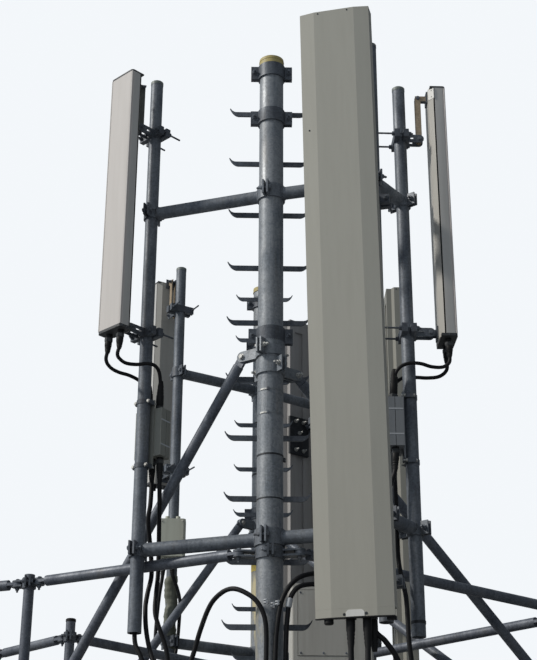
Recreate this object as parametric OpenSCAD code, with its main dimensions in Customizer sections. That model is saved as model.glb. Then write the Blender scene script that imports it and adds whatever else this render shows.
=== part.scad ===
// Rooftop cell site: two braced tube masts with ladders, antenna pipes, panel antennas,
// amplifiers and an equipment cabinet. Millimetres, +Z up, +Y away from the viewer.
// The origin is the centre of the near mast's base plate, on its underside.

/* [Masts] */
// Outside diameter of a mast tube
mast_d = 114.3; // [90:0.1:140]
// Wall of a mast tube
mast_wall = 5; // [3:0.5:8]
// Height of the near mast
near_mast_h = 3580; // [3400:10:3800]
// Height of the far mast
far_mast_h = 3465; // [3300:5:3600]
// Distance from the near mast to the far mast
mast_gap = 2386; // [2300:1:2500]
// Height of a mast's end cap above the tube
mast_cap_h = 28; // [16:1:40]
// Side of a mast's square base plate
base_side = 300; // [260:5:340]
// Thickness of a base plate
base_t = 16; // [10:1:25]
// Distance between the holes of a base plate
base_hole_gap = 230; // [210:5:240]
// Diameter of the holes of a base plate
base_hole_d = 22; // [16:1:26]
// Height of the gussets on a base plate
gusset_h = 120; // [80:5:160]
// Thickness of a gusset
gusset_t = 10; // [6:1:14]

/* [Collars] */
// Thickness of a collar's band
band_t = 8; // [6:0.5:10]
// Height of a mast collar
collar_h = 70; // [60:1:80]
// Height of a pipe collar
pipe_collar_h = 60; // [50:1:70]
// Gap between the two halves of a collar
split_gap = 12; // [8:1:16]
// Length of a collar's ear
ear_len = 34; // [30:1:40]
// Thickness of a collar's ear
ear_t = 8; // [6:0.5:10]
// Diameter of the bolt holes in collars, lugs and forks
bolt_hole_d = 14; // [10:0.5:16]
// Clearance between a piece and what it is clamped to
seat = 0.3; // [0.2:0.1:0.5]

/* [Ladders] */
// Distance from one rung to the next
rung_pitch = 280; // [260:5:300]
// Length of a rung's straight part
rung_len = 346; // [300:2:360]
// Depth of a rung, from front to back
rung_depth = 40; // [30:1:50]
// Thickness of a rung
rung_t = 8; // [6:0.5:10]
// Length of a rung's upturned end
rung_tip = 44; // [30:1:60]
// Angle that a rung's end turns up
rung_tip_angle = 58; // [45:1:65]
// Width of a ladder's rail
ladder_rail_w = 50; // [40:1:60]
// Depth of a ladder's rail
ladder_rail_t = 20; // [16:1:30]
// Distance from a mast's axis to the middle of its ladder
ladder_reach = 155; // [150:1:170]
// Distance from the near mast's top to its first rung
near_ladder_top = 236; // [220:2:300]
// Distance from the far mast's top to its first rung
far_ladder_top = 150; // [120:2:200]
// Distance from a mast's top to its middle ladder clamp
mid_clamp_drop = 1490; // [1480:5:1495]

/* [Pipes and arms] */
// Outside diameter of an antenna pipe
pipe_d = 60.3; // [50:0.1:76.1]
// Wall of pipes and arms
pipe_wall = 4; // [3:0.5:6]
// Outside diameter of an arm
arm_d = 60.3; // [50:0.1:62]
// Height of the near mast's upper arms
upper_arm_z = 2811; // [2750:1:2850]
// Height of the far mast's upper arms
far_upper_arm_z = 2765; // [2700:5:2800]
// Height of the lower arms
lower_arm_z = 1153; // [1150:1:1250]
// Height of the pipes' lower ends
pipe_z = 770; // [700:5:850]
// Length of the near pipes
near_pipe_len = 2790; // [2600:10:2900]
// Length of the near right pipe
right_pipe_len = 2675; // [2600:5:2900]
// Length of the far pipes
far_pipe_len = 2690; // [2600:10:2900]

/* [Antennas] */
// Width of a large panel antenna
panel_w = 312; // [290:1:330]
// Depth of a large panel antenna
panel_depth = 125; // [110:1:135]
// Length of the near large panel antenna
near_panel_len = 2694; // [2600:2:2800]
// Length of the far large panel antennas
far_panel_len = 2660; // [2500:10:2800]
// Width of the flat front of a large panel antenna
panel_flat_w = 180; // [160:1:210]
// Drop of a large panel's front at its side edges
panel_bevel = 12; // [6:1:20]
// Width of a slim antenna
slim_w = 155; // [140:1:170]
// Depth of a slim antenna
slim_depth = 78; // [60:1:90]
// Length of the near left slim antenna
left_slim_len = 1362; // [1200:2:1450]
// Length of the near right slim antenna
right_slim_len = 1302; // [1200:2:1400]
// Length of the far left slim antenna
far_slim_len = 1206; // [1100:2:1300]
// Tilt of the large panels
panel_tilt = 2.9; // [0:0.1:3.2]
// Height of the slim antennas' lower ends
slim_z = 2130; // [2100:2:2200]
// Height of the large panels' lower ends
panel_z = 734; // [700:2:760]
// Height of a near amplifier
amp_h = 258; // [240:2:280]
// Height of a far amplifier
far_amp_h = 218; // [200:2:240]
// Height of the near amplifiers' lower ends
near_amp_z = 1556; // [1500:2:1600]
// Height of the far amplifiers' lower ends
far_amp_z = 1612; // [1500:2:1650]

/* [Braces and rails] */
// Outside diameter of braces, rails and posts
rail_d = 48.3; // [42.4:0.1:50]
// Wall of braces, rails and posts
rail_wall = 3.6; // [2.5:0.1:5]
// Height of the near rails
rail_z = 1085; // [1084:1:1090]
// Height of the far rails
far_rail_z = 1034; // [1020:1:1034]
// Height of the rail posts
post_h = 1125; // [1120:5:1200]
// Side of a post's base plate
post_base_side = 120; // [100:5:150]
// Thickness of a post's base plate
post_base_t = 8; // [6:1:12]

/* [Cabinet] */
// Width of the equipment cabinet
cabinet_w = 400; // [380:5:450]
// Depth of the equipment cabinet
cabinet_depth = 350; // [300:10:400]
// Height of the equipment cabinet
cabinet_h = 1160; // [1000:10:1200]
// Height of the cabinet's plinth
plinth_h = 80; // [60:5:120]
// Width of the cabinet's upper cover
cover_w = 244; // [200:2:280]
// Height of the cabinet's upper cover
cover_h = 320; // [280:5:360]

/* [Cables] */
// Diameter of a feeder cable
feeder_d = 22; // [16:1:24]
// Diameter of a jumper cable
jumper_d = 14; // [10:1:15]

/* [Hidden] */

$fn = 48;
eps = 1;

steel = [0.50, 0.54, 0.57];
dark_steel = [0.25, 0.28, 0.31];
radome = [0.62, 0.62, 0.57];
mustard = [0.72, 0.62, 0.30];

// Places of the masts in plan
near_xy = [0, 0];
far_xy = [0, mast_gap];

// A point at a distance and a turn from another point in plan
function polar(from, reach, turn) = from + reach * [cos(turn), sin(turn)];

// Arms: reach from the mast and turn in plan
near_left_arm = [606, 160];
near_panel_arm = [490, -17];
near_link = [250, 52];
far_left_arm = [586, -150];
far_panel_arm = [450, 33];
far_link = [393, -50];

// Places of the antenna pipes in plan
near_left_xy = polar(near_xy, near_left_arm[0], near_left_arm[1]);
near_panel_xy = polar(near_xy, near_panel_arm[0], near_panel_arm[1]);
near_right_xy = polar(near_panel_xy, near_link[0], near_link[1]);
far_left_xy = polar(far_xy, far_left_arm[0], far_left_arm[1]);
far_panel_xy = polar(far_xy, far_panel_arm[0], far_panel_arm[1]);
far_right_xy = polar(far_panel_xy, far_link[0], far_link[1]);

// Ladder clamps and brace collars: distances below the top of a mast
ladder_clamp_drops = [105, 385, mid_clamp_drop, 3100];
upper_brace_drop = mid_clamp_drop + collar_h + 4;
lower_brace_drop = upper_brace_drop + collar_h + 16;

// Braces: turn in plan, angle of slope and height of the fork's pin
near_left_brace = [146, 55, near_mast_h - upper_brace_drop];
near_right_brace = [36, 38.7, near_mast_h - lower_brace_drop];
far_left_brace = [217, 53.5, far_mast_h - upper_brace_drop];
far_right_brace = [-42, 37.5, far_mast_h - lower_brace_drop];
brace_pin_reach = mast_d / 2 + seat + band_t + 80;
brace_foot_pin_z = 60;

// Rail posts in plan
near_post_xy = [-1090, 626];
far_post_xy = [-981, 1420];
right_post_xy = [1380, 910];
outer_near_post_xy = [-1600, 820];
outer_far_post_xy = [-1440, 1900];

// Pins of the rails: reach from a mast or a post, and those at the near mast's sides
rail_pin_reach = 130;
post_pin_reach = rail_d / 2 + seat + band_t + 28;
near_left_pin = polar(near_xy, rail_pin_reach, 180);
near_right_pin = polar(near_xy, rail_pin_reach, -15);

// Turn in plan from a point towards another
function turn_to(a, b) = atan2(b[1] - a[1], b[0] - a[0]);
function mast_pin(mast_xy, to) = polar(mast_xy, rail_pin_reach, turn_to(mast_xy, to));
function post_pin(post_xy, to) = polar(post_xy, post_pin_reach, turn_to(post_xy, to));

// Cabinet's front left corner in plan
cabinet_xy = [130, 1092];

// Places a child at a point in plan, at a height, with a turn
module at(xy, z = 0, turn = 0) {
    translate([xy[0], xy[1], z])
        rotate([0, 0, turn])
            children();
}

// Half of a collar on the +X side of a vertical tube, with two bolted ears
module half_collar(tube_d, h) {
    bore_d = tube_d + 2 * seat;
    outer_d = bore_d + 2 * band_t;
    difference() {
        union() {
            cylinder(d = outer_d, h = h, center = true);
            for (side = [-1, 1])
                translate([0, side * (outer_d / 2 + ear_len) / 2, 0])
                    cube([split_gap + 2 * ear_t, outer_d / 2 + ear_len, h], center = true);
        }
        cylinder(d = bore_d, h = h + 2 * eps, center = true);
        translate([split_gap / 2 - outer_d, -outer_d * 2, -h])
            cube([outer_d, outer_d * 4, 2 * h]);
        for (side = [-1, 1])
            translate([0, side * (outer_d + ear_len) / 2, 0])
                rotate([0, 90, 0])
                    cylinder(d = bolt_hole_d, h = outer_d, center = true);
    }
}

// Horizontal tube between two vertical tubes, welded to half a collar at each end.
// Each skew turns a half collar away from the tube's own line.
module collared_tube(tube_a_d, tube_b_d, reach, skew_a, skew_b, h_a, h_b) {
    start = tube_a_d / 2 + seat + band_t / 2;
    end = reach - tube_b_d / 2 - seat - band_t / 2;
    difference() {
        union() {
            rotate([0, 0, skew_a])
                half_collar(tube_a_d, h_a);
            translate([reach, 0, 0])
                rotate([0, 0, 180 + skew_b])
                    half_collar(tube_b_d, h_b);
            translate([start, 0, 0])
                rotate([0, 90, 0])
                    cylinder(d = arm_d, h = end - start);
        }
        cylinder(d = tube_a_d + 2 * seat, h = 2 * arm_d, center = true);
        translate([reach, 0, 0])
            cylinder(d = tube_b_d + 2 * seat, h = 2 * arm_d, center = true);
        translate([start + band_t, 0, 0])
            rotate([0, 90, 0])
                cylinder(d = arm_d - 2 * pipe_wall, h = end - start - 2 * band_t);
    }
}

// Plain vertical tube
module pipe(d, wall, h) {
    difference() {
        cylinder(d = d, h = h);
        translate([0, 0, -eps])
            cylinder(d = d - 2 * wall, h = h + 2 * eps);
    }
}

// Mast tube welded to a gusseted base plate
module mast(h) {
    tube_h = h - mast_cap_h;
    difference() {
        union() {
            translate([0, 0, base_t / 2])
                cube([base_side, base_side, base_t], center = true);
            cylinder(d = mast_d, h = tube_h);
            for (turn = [0, 90, 180, 270])
                rotate([90, 0, turn])
                    linear_extrude(gusset_t, center = true)
                        polygon([[0, base_t], [base_side / 2 - 10, base_t],
                            [base_side / 2 - 10, base_t + 15],
                            [mast_d / 2 + 8, base_t + gusset_h], [0, base_t + gusset_h]]);
        }
        translate([0, 0, base_t])
            cylinder(d = mast_d - 2 * mast_wall, h = tube_h);
        for (x = [-1, 1], y = [-1, 1])
            translate([x * base_hole_gap / 2, y * base_hole_gap / 2, -eps])
                cylinder(d = base_hole_d, h = base_t + 2 * eps);
    }
}

module near_mast() {
    color(steel)
        at(near_xy)
            mast(near_mast_h);
}

module far_mast() {
    color(steel)
        at(far_xy)
            mast(far_mast_h);
}

// Plug with a rim that closes a mast's top
module mast_cap() {
    translate([0, 0, -mast_cap_h]) {
        cylinder(d = mast_d + 4, h = mast_cap_h);
        translate([0, 0, -20])
            cylinder(d = mast_d - 2 * mast_wall - 2 * seat, h = 20 + eps);
    }
}

module mast_caps() {
    color(mustard) {
        at(near_xy, near_mast_h)
            mast_cap();
        at(far_xy, far_mast_h)
            mast_cap();
    }
}

// Rung bent from flat bar, with both ends turned up
module rung() {
    half = rung_len / 2;
    rise = rung_tip * sin(rung_tip_angle);
    run = rung_tip * cos(rung_tip_angle);
    rotate([90, 0, 0])
        linear_extrude(rung_depth, center = true)
            polygon([[-half, 0], [half, 0], [half + run, rise], [half + run - rung_t / 2, rise + rung_t / 2],
                [half - rung_t / 3, rung_t], [rung_t / 3 - half, rung_t],
                [-half - run + rung_t / 2, rise + rung_t / 2], [-half - run, rise]]);
}

// Number of spaces between the rungs of a ladder whose first rung is at height first
function rung_spaces(first) = floor((first - 250) / rung_pitch);

// Single rail of a ladder, on the +Y side of a mast
module ladder_rail(mast_h, first) {
    low = first - rung_spaces(first) * rung_pitch - 120;
    translate([-ladder_rail_w / 2, ladder_reach - ladder_rail_t / 2, low])
        cube([ladder_rail_w, ladder_rail_t, mast_h - 40 - low]);
}

// Rungs welded across the rail's outer face
module rungs(first) {
    for (i = [0 : rung_spaces(first)])
        translate([0, ladder_reach + (ladder_rail_t + rung_depth) / 2, first - i * rung_pitch])
            rung();
}

module near_ladder() {
    color(dark_steel)
        at(near_xy)
            ladder_rail(near_mast_h, near_mast_h - near_ladder_top);
}

module far_ladder() {
    color(dark_steel)
        at(far_xy, 0, 180)
            ladder_rail(far_mast_h, far_mast_h - far_ladder_top);
}

module near_rungs() {
    color(dark_steel)
        at(near_xy)
            rungs(near_mast_h - near_ladder_top);
}

module far_rungs() {
    color(dark_steel)
        at(far_xy, 0, 180)
            rungs(far_mast_h - far_ladder_top);
}

// Clamp that holds a ladder's rail against a mast: a half collar and a saddle
module ladder_clamp() {
    saddle = ladder_reach - ladder_rail_t / 2 - seat;
    rotate([0, 0, -90])
        half_collar(mast_d, collar_h);
    difference() {
        union() {
            rotate([0, 0, 90])
                half_collar(mast_d, collar_h);
            translate([0, saddle / 2 + 20, 0])
                cube([ladder_rail_w, saddle - 40, collar_h], center = true);
        }
        cylinder(d = mast_d + 2 * seat, h = collar_h + 2 * eps, center = true);
    }
}

module ladder_clamps() {
    color(dark_steel)
        for (drop = ladder_clamp_drops) {
            at(near_xy, near_mast_h - drop)
                ladder_clamp();
            at(far_xy, far_mast_h - drop, 180)
                ladder_clamp();
        }
}

// Skew of the two half collars that an arm and a link share on a panel pipe
function shared_skew(arm, link) =
    let (turn = arm[1] + 180 - link[1], d = turn > 180 ? turn - 360 : turn)
    sign(d) * (180 - abs(d)) / 2;

// The two arms at one height of a mast, each welded to half of the mast's collar
module arm_pair(mast_xy, z, left, right, right_skew) {
    split = (left[1] + 180 + right[1] + (left[1] < 0 ? 0 : -360)) / 2;
    at(mast_xy, z, left[1])
        collared_tube(mast_d, pipe_d, left[0], split + 180 - left[1], 0, collar_h, pipe_collar_h);
    at(mast_xy, z, right[1])
        collared_tube(mast_d, pipe_d, right[0], split - right[1], right_skew, collar_h, pipe_collar_h);
}

module near_upper_arms() {
    color(steel)
        arm_pair(near_xy, upper_arm_z, near_left_arm, near_panel_arm,
            shared_skew(near_panel_arm, near_link));
}

module near_lower_arms() {
    color(steel)
        arm_pair(near_xy, lower_arm_z, near_left_arm, near_panel_arm, 0);
}

module far_upper_arms() {
    color(steel)
        arm_pair(far_xy, far_upper_arm_z, far_left_arm, far_panel_arm,
            shared_skew(far_panel_arm, far_link));
}

module far_lower_arms() {
    color(steel)
        arm_pair(far_xy, lower_arm_z, far_left_arm, far_panel_arm, 0);
}

// Links from the panel pipe to the side pipe: the upper one shares the arm's collar,
// the lower one sits just above the arm
lower_link_z = lower_arm_z + pipe_collar_h + 2;

module links(from_xy, arm, link, upper_z) {
    at(from_xy, upper_z, link[1])
        collared_tube(pipe_d, pipe_d, link[0], -shared_skew(arm, link), 0, pipe_collar_h, pipe_collar_h);
    at(from_xy, lower_link_z, link[1])
        collared_tube(pipe_d, pipe_d, link[0], 0, 0, pipe_collar_h, pipe_collar_h);
}

module near_links() {
    color(steel)
        links(near_panel_xy, near_panel_arm, near_link, upper_arm_z);
}

module far_links() {
    color(steel)
        links(far_panel_xy, far_panel_arm, far_link, far_upper_arm_z);
}

// Outer half collars that close the joints of a mast's pipes
module clamp_set(left_xy, left_arm, panel_xy, panel_arm, right_xy, link, upper_z) {
    for (z = [upper_z, lower_arm_z])
        at(left_xy, z, left_arm[1])
            half_collar(pipe_d, pipe_collar_h);
    at(panel_xy, lower_arm_z, panel_arm[1])
        half_collar(pipe_d, pipe_collar_h);
    at(panel_xy, lower_link_z, link[1] + 180)
        half_collar(pipe_d, pipe_collar_h);
    for (z = [upper_z, lower_link_z])
        at(right_xy, z, link[1])
            half_collar(pipe_d, pipe_collar_h);
}

module pipe_clamps() {
    color(dark_steel) {
        clamp_set(near_left_xy, near_left_arm, near_panel_xy, near_panel_arm,
            near_right_xy, near_link, upper_arm_z);
        clamp_set(far_left_xy, far_left_arm, far_panel_xy, far_panel_arm,
            far_right_xy, far_link, far_upper_arm_z);
    }
}

module near_left_pipe() {
    color(steel)
        at(near_left_xy, pipe_z)
            pipe(pipe_d, pipe_wall, near_pipe_len);
}

module near_panel_pipe() {
    color(steel)
        at(near_panel_xy, pipe_z)
            pipe(pipe_d, pipe_wall, near_pipe_len);
}

module near_right_pipe() {
    color(steel)
        at(near_right_xy, pipe_z)
            pipe(pipe_d, pipe_wall, right_pipe_len);
}

module far_left_pipe() {
    color(steel)
        at(far_left_xy, pipe_z)
            pipe(pipe_d, pipe_wall, far_pipe_len);
}

module far_panel_pipe() {
    color(steel)
        at(far_panel_xy, pipe_z)
            pipe(pipe_d, pipe_wall, far_pipe_len);
}

module far_right_pipe() {
    color(steel)
        at(far_right_xy, pipe_z)
            pipe(pipe_d, pipe_wall, far_pipe_len);
}

// Sockets for cables on antennas and amplifiers
socket_d = 26;
socket_h = 21 - seat;
antenna_socket_h = 30 - seat;

// Outline of a large panel, front towards -Y, back at y = 0
module panel_outline() {
    front = -panel_depth;
    half = panel_w / 2;
    back_half = half - 24;
    polygon([[-back_half, 0], [-back_half, -30], [-half, -46], [-half, front + panel_bevel],
        [-panel_flat_w / 2, front], [panel_flat_w / 2, front],
        [half, front + panel_bevel], [half, -46], [back_half, -30], [back_half, 0]]);
}

// Large panel antenna standing on z = 0. Its base lies up inside a skirt, and a tray with
// two flanges runs up its back.
skirt_h = 34;
skirt_t = 10;

module large_panel(len) {
    difference() {
        linear_extrude(len)
            panel_outline();
        translate([-panel_w, skirt_t + panel_bevel - panel_depth, -eps])
            cube([2 * panel_w, panel_depth, skirt_h + eps]);
        for (side = [-1, 1])
            translate([side * 60 - 30, -12, 80])
                cube([60, 12 + eps, len - 160]);
    }
    for (xy = [[0, -62], [70, -62], [22, -24]])
        translate([xy[0], xy[1], skirt_h - antenna_socket_h])
            cylinder(d = socket_d, h = antenna_socket_h + eps);
}

// Outline of a slim antenna, front towards -Y: a radome with rounded front corners on a
// flat tray, with a groove between them
groove_y = 22;

module slim_outline() {
    r = 14;
    half = slim_w / 2;
    difference() {
        union() {
            translate([-half, r - slim_depth])
                square([2 * half, slim_depth - r]);
            translate([r - half, -slim_depth])
                square([2 * half - 2 * r, r + eps]);
            for (side = [-1, 1])
                translate([side * (half - r), r - slim_depth])
                    circle(r);
        }
        for (side = [-1, 1]) {
            translate([side * half - 3, -groove_y - 3])
                square([6, 3]);
            translate([side * half, 0])
                circle(7);
        }
    }
}

// Slim antenna standing on z = 0, with a thin cap at its top and a thick one at its foot
module slim_antenna(len) {
    half = slim_w / 2 + 1.5;
    for (cap = [[0, 14], [len - 5, 5]])
        translate([-half, -slim_depth - 1.5, cap[0]])
            cube([2 * half, slim_depth - 4, cap[1]]);
    linear_extrude(len - 2)
        slim_outline();
    for (side = [-1, 1])
        translate([side * 40, -slim_depth / 2, -antenna_socket_h])
            cylinder(d = socket_d - 4, h = antenna_socket_h + eps);
}

// Each antenna: facing turn (0 faces -Y), distance of its back from the pipe's axis,
// height of its bottom, tilt and length
panel_back = 215;
slim_back = 148;
near_left_aim = [-50, slim_back, slim_z, 0, left_slim_len];
near_panel_aim = [-25, panel_back, panel_z, panel_tilt, near_panel_len];
near_right_aim = [100, slim_back, slim_z - 16, 0, right_slim_len];
far_left_aim = [-150, slim_back, slim_z + 86, 0, far_slim_len];
far_panel_aim = [-145, slim_back, panel_z, 0, far_panel_len];
far_right_aim = [90, slim_back + 42, panel_z, 0, far_panel_len];

// Places a child at an antenna's back, with its facing and tilt
module aimed(xy, aim) {
    translate([xy[0], xy[1], aim[2]])
        rotate([0, 0, aim[0]])
            translate([0, -aim[1], 0])
                rotate([aim[3], 0, 0])
                    children();
}

module near_left_antenna() {
    color(radome)
        aimed(near_left_xy, near_left_aim)
            slim_antenna(near_left_aim[4]);
}

module near_panel_antenna() {
    color(radome)
        aimed(near_panel_xy, near_panel_aim)
            large_panel(near_panel_aim[4]);
}

module near_right_antenna() {
    color(radome)
        aimed(near_right_xy, near_right_aim)
            slim_antenna(near_right_aim[4]);
}

module far_left_antenna() {
    color(radome)
        aimed(far_left_xy, far_left_aim)
            slim_antenna(far_left_aim[4]);
}

module far_panel_antenna() {
    color(radome)
        aimed(far_panel_xy, far_panel_aim)
            large_panel(far_panel_aim[4]);
}

module far_right_antenna() {
    color(radome)
        aimed(far_right_xy, far_right_aim)
            large_panel(far_right_aim[4]);
}

// Brackets: a pair of jaws on the pipe, an arm of two slotted side plates, and a foot on
// the antenna's back. Two threaded rods pull the jaws together.
jaw_w = 150;
jaw_h = 42;
jaw_t = 26;
rod_gap = 124;
rod_hole_d = 13;
arm_plate_t = 5;
arm_w = 44;
foot_w = 56;
foot_t = 6;
link_h = 210;

// Half of the jaws, on the +X side of the pipe
module jaw() {
    difference() {
        translate([8, -jaw_w / 2, -jaw_h / 2])
            cube([jaw_t, jaw_w, jaw_h]);
        cylinder(d = pipe_d + 2 * seat, h = jaw_h + 2 * eps, center = true);
        for (side = [-1, 1])
            translate([0, side * rod_gap / 2, 0])
                rotate([0, 90, 0])
                    cylinder(d = rod_hole_d, h = 4 * jaw_t);
    }
}

// Foot on the antenna's back at x = back: a plate and two lugs around a pin at x = pin,
// whose outer faces are at y = +-lug_out
lug_t = 4;

module antenna_foot(back, pin, lug_out) {
    translate([back - foot_t, -foot_w / 2, -30])
        cube([foot_t, foot_w, 60]);
    for (side = [-1, 1])
        translate([0, side * (lug_out - lug_t / 2) - lug_t / 2, 0])
            difference() {
                translate([pin - 12, 0, -14])
                    cube([back - foot_t / 2 - pin + 12, lug_t, 28]);
                translate([pin, -eps, 0])
                    rotate([-90, 0, 0])
                        cylinder(d = rod_hole_d, h = lug_t + 2 * eps);
            }
}

// Arm from the jaws to a pin at x = pin
module bracket_arm(pin) {
    root = 8 + jaw_t;
    for (side = [-1, 1])
        translate([0, side * (arm_w - arm_plate_t) / 2, 0])
            rotate([90, 0, 0])
                linear_extrude(arm_plate_t, center = true)
                    difference() {
                        union() {
                            translate([root - 2, -jaw_h / 2])
                                square([pin - root + 2, jaw_h]);
                            translate([pin, 0])
                                circle(d = jaw_h);
                        }
                        translate([root + 14, -6])
                            square([max(pin - root - 44, 6), 12]);
                        translate([pin, 0])
                            circle(d = rod_hole_d);
                    }
    translate([root - 2, -arm_w / 2, -jaw_h / 2])
        cube([8, arm_w, jaw_h]);
}

// One bracket at a height above the antenna's foot. A hinged one has a link that stands on
// the arm's end and reaches up to the antenna.
module bracket(xy, aim, up, hinged) {
    rise = hinged ? link_h : 0;
    back = aim[1] + (up + rise) * sin(aim[3]) - seat - 30 * tan(aim[3]);
    pin = back - 34;
    arm_in = arm_w / 2 - arm_plate_t - seat;
    tilt_link_t = 5;
    translate([xy[0], xy[1], aim[2] + up])
        rotate([0, 0, aim[0] - 90]) {
            jaw();
            bracket_arm(pin);
            rotate([0, 0, 180])
                jaw();
            translate([0, 0, rise])
                antenna_foot(back, pin, hinged ? arm_in - tilt_link_t - seat : arm_in);
            if (hinged)
                for (side = [-1, 1])
                    translate([0, side * (arm_in - tilt_link_t / 2), 0])
                        rotate([90, 0, 0])
                            linear_extrude(tilt_link_t, center = true)
                                difference() {
                                    union() {
                                        translate([pin - 13, 0])
                                            square([26, link_h]);
                                        for (end = [0, link_h])
                                            translate([pin, end])
                                                circle(d = 26);
                                    }
                                    for (end = [0, link_h])
                                        translate([pin, end])
                                            circle(d = rod_hole_d);
                                }
        }
}

module slim_brackets(xy, aim) {
    bracket(xy, aim, 46, false);
    bracket(xy, aim, aim[4] - link_h - 34, true);
}

module panel_brackets(xy, aim) {
    bracket(xy, aim, 200, false);
    bracket(xy, aim, aim[4] - 730, false);
}

module near_left_brackets() {
    color(dark_steel)
        slim_brackets(near_left_xy, near_left_aim);
}

module near_panel_brackets() {
    color(dark_steel)
        panel_brackets(near_panel_xy, near_panel_aim);
}

module near_right_brackets() {
    color(dark_steel)
        slim_brackets(near_right_xy, near_right_aim);
}

module far_left_brackets() {
    color(dark_steel)
        slim_brackets(far_left_xy, far_left_aim);
}

module far_panel_brackets() {
    color(dark_steel)
        panel_brackets(far_panel_xy, far_panel_aim);
}

module far_right_brackets() {
    color(dark_steel)
        panel_brackets(far_right_xy, far_right_aim);
}

// Mast amplifier strapped to a pipe: a case on a back plate that seats on the pipe, with
// two sockets on top and three underneath
amp_w = 148;
amp_depth = 76;
amp_plate_t = 8;
amp_sockets_up = [-30, 30];
amp_sockets_down = [-44, 0, 44];

module amplifier(h) {
    front = pipe_d / 2 + seat + amp_plate_t + amp_depth;
    translate([-amp_w / 2 + 20, -pipe_d / 2 - seat - amp_plate_t - eps, 12])
        cube([amp_w - 40, amp_plate_t + eps, h - 24]);
    difference() {
        translate([-amp_w / 2, -front, 0])
            cube([amp_w, amp_depth, h]);
        for (side = [-1, 1])
            translate([side * amp_w / 2, -front, h / 2])
                rotate([0, 0, 45])
                    cube([16, 16, h + 2 * eps], center = true);
        for (side = [-1, 1])
            translate([side * amp_w / 2 - 2, amp_depth / 2 - front, -eps])
                cube([4, 3, h + 2 * eps]);
    }
    for (x = amp_sockets_up)
        translate([x, amp_depth / 2 - front, h - eps])
            cylinder(d = socket_d, h = socket_h + eps);
    for (x = amp_sockets_down)
        translate([x, amp_depth / 2 - front, -socket_h])
            cylinder(d = socket_d, h = socket_h + eps);
}

module near_amplifiers() {
    color(radome) {
        at(near_left_xy, near_amp_z, 125)
            amplifier(amp_h);
        at(near_right_xy, near_amp_z, -90)
            amplifier(amp_h);
    }
}

module far_amplifiers() {
    color(radome) {
        at(far_left_xy, far_amp_z, 0)
            amplifier(far_amp_h);
        at(far_right_xy, far_amp_z, 180)
            amplifier(far_amp_h);
    }
}

// Fork: two plates that hold a tube's flattened end; level plates take a vertical bolt
fork_gap = 14;
fork_t = 8;
fork_h = 50;

module fork(tube_d, reach, level) {
    start = tube_d / 2 + seat + band_t / 2;
    lay = level ? 0 : 90;
    difference() {
        rotate([lay, 0, 0])
            for (side = [-1, 1])
                translate([0, 0, side * (fork_gap + fork_t) / 2])
                    linear_extrude(fork_t, center = true)
                        union() {
                            translate([start, -fork_h / 2])
                                square([reach - start, fork_h]);
                            translate([reach, 0])
                                circle(d = fork_h);
                        }
        cylinder(d = tube_d + 2 * seat, h = 2 * fork_h, center = true);
        translate([reach, 0, 0])
            rotate([lay, 0, 0])
                cylinder(d = bolt_hole_d, h = 2 * fork_h, center = true);
    }
}

module forked_collar(xy, brace) {
    at(xy, brace[2], brace[0]) {
        half_collar(mast_d, collar_h);
        fork(mast_d, brace_pin_reach, false);
        rotate([0, 0, 180])
            half_collar(mast_d, collar_h);
    }
}

module brace_collars() {
    color(steel) {
        forked_collar(near_xy, near_left_brace);
        forked_collar(near_xy, near_right_brace);
        forked_collar(far_xy, far_left_brace);
        forked_collar(far_xy, far_right_brace);
    }
}

// Tube with a flattened, drilled tongue at each end; its pins lie at 0 and at len on the X axis
tongue_len = 90;

module tongued_tube(len) {
    tongue_t = fork_gap - 2 * seat;
    tongue_w = fork_h - 4;
    difference() {
        union() {
            translate([tongue_len / 2, 0, 0])
                rotate([0, 90, 0])
                    cylinder(d = rail_d, h = len - tongue_len);
            for (end = [0, len])
                translate([end, 0, 0])
                    rotate([90, 0, 0])
                        cylinder(d = tongue_w, h = tongue_t, center = true);
            for (start = [0, len - tongue_len])
                translate([start, -tongue_t / 2, -tongue_w / 2])
                    cube([tongue_len, tongue_t, tongue_w]);
        }
        translate([tongue_len, 0, 0])
            rotate([0, 90, 0])
                cylinder(d = rail_d - 2 * rail_wall, h = len - 2 * tongue_len);
        for (end = [0, len])
            translate([end, 0, 0])
                rotate([90, 0, 0])
                    cylinder(d = bolt_hole_d, h = 2 * fork_h, center = true);
        for (end = [-tongue_len / 2, len - tongue_len / 2])
            for (side = [-1, 1])
                translate([end, side * (tongue_t + rail_d) / 2 - rail_d / 2, -rail_d])
                    cube([tongue_len, rail_d, 2 * rail_d]);
    }
}

// Brace from its upper pin down to its foot pin
module brace(xy, b) {
    len = (b[2] - brace_foot_pin_z) / sin(b[1]);
    at(xy, b[2], b[0])
        translate([brace_pin_reach, 0, 0])
            rotate([0, b[1], 0])
                tongued_tube(len);
}

module near_braces() {
    color(steel) {
        brace(near_xy, near_left_brace);
        brace(near_xy, near_right_brace);
    }
}

module far_braces() {
    color(steel) {
        brace(far_xy, far_left_brace);
        brace(far_xy, far_right_brace);
    }
}

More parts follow.
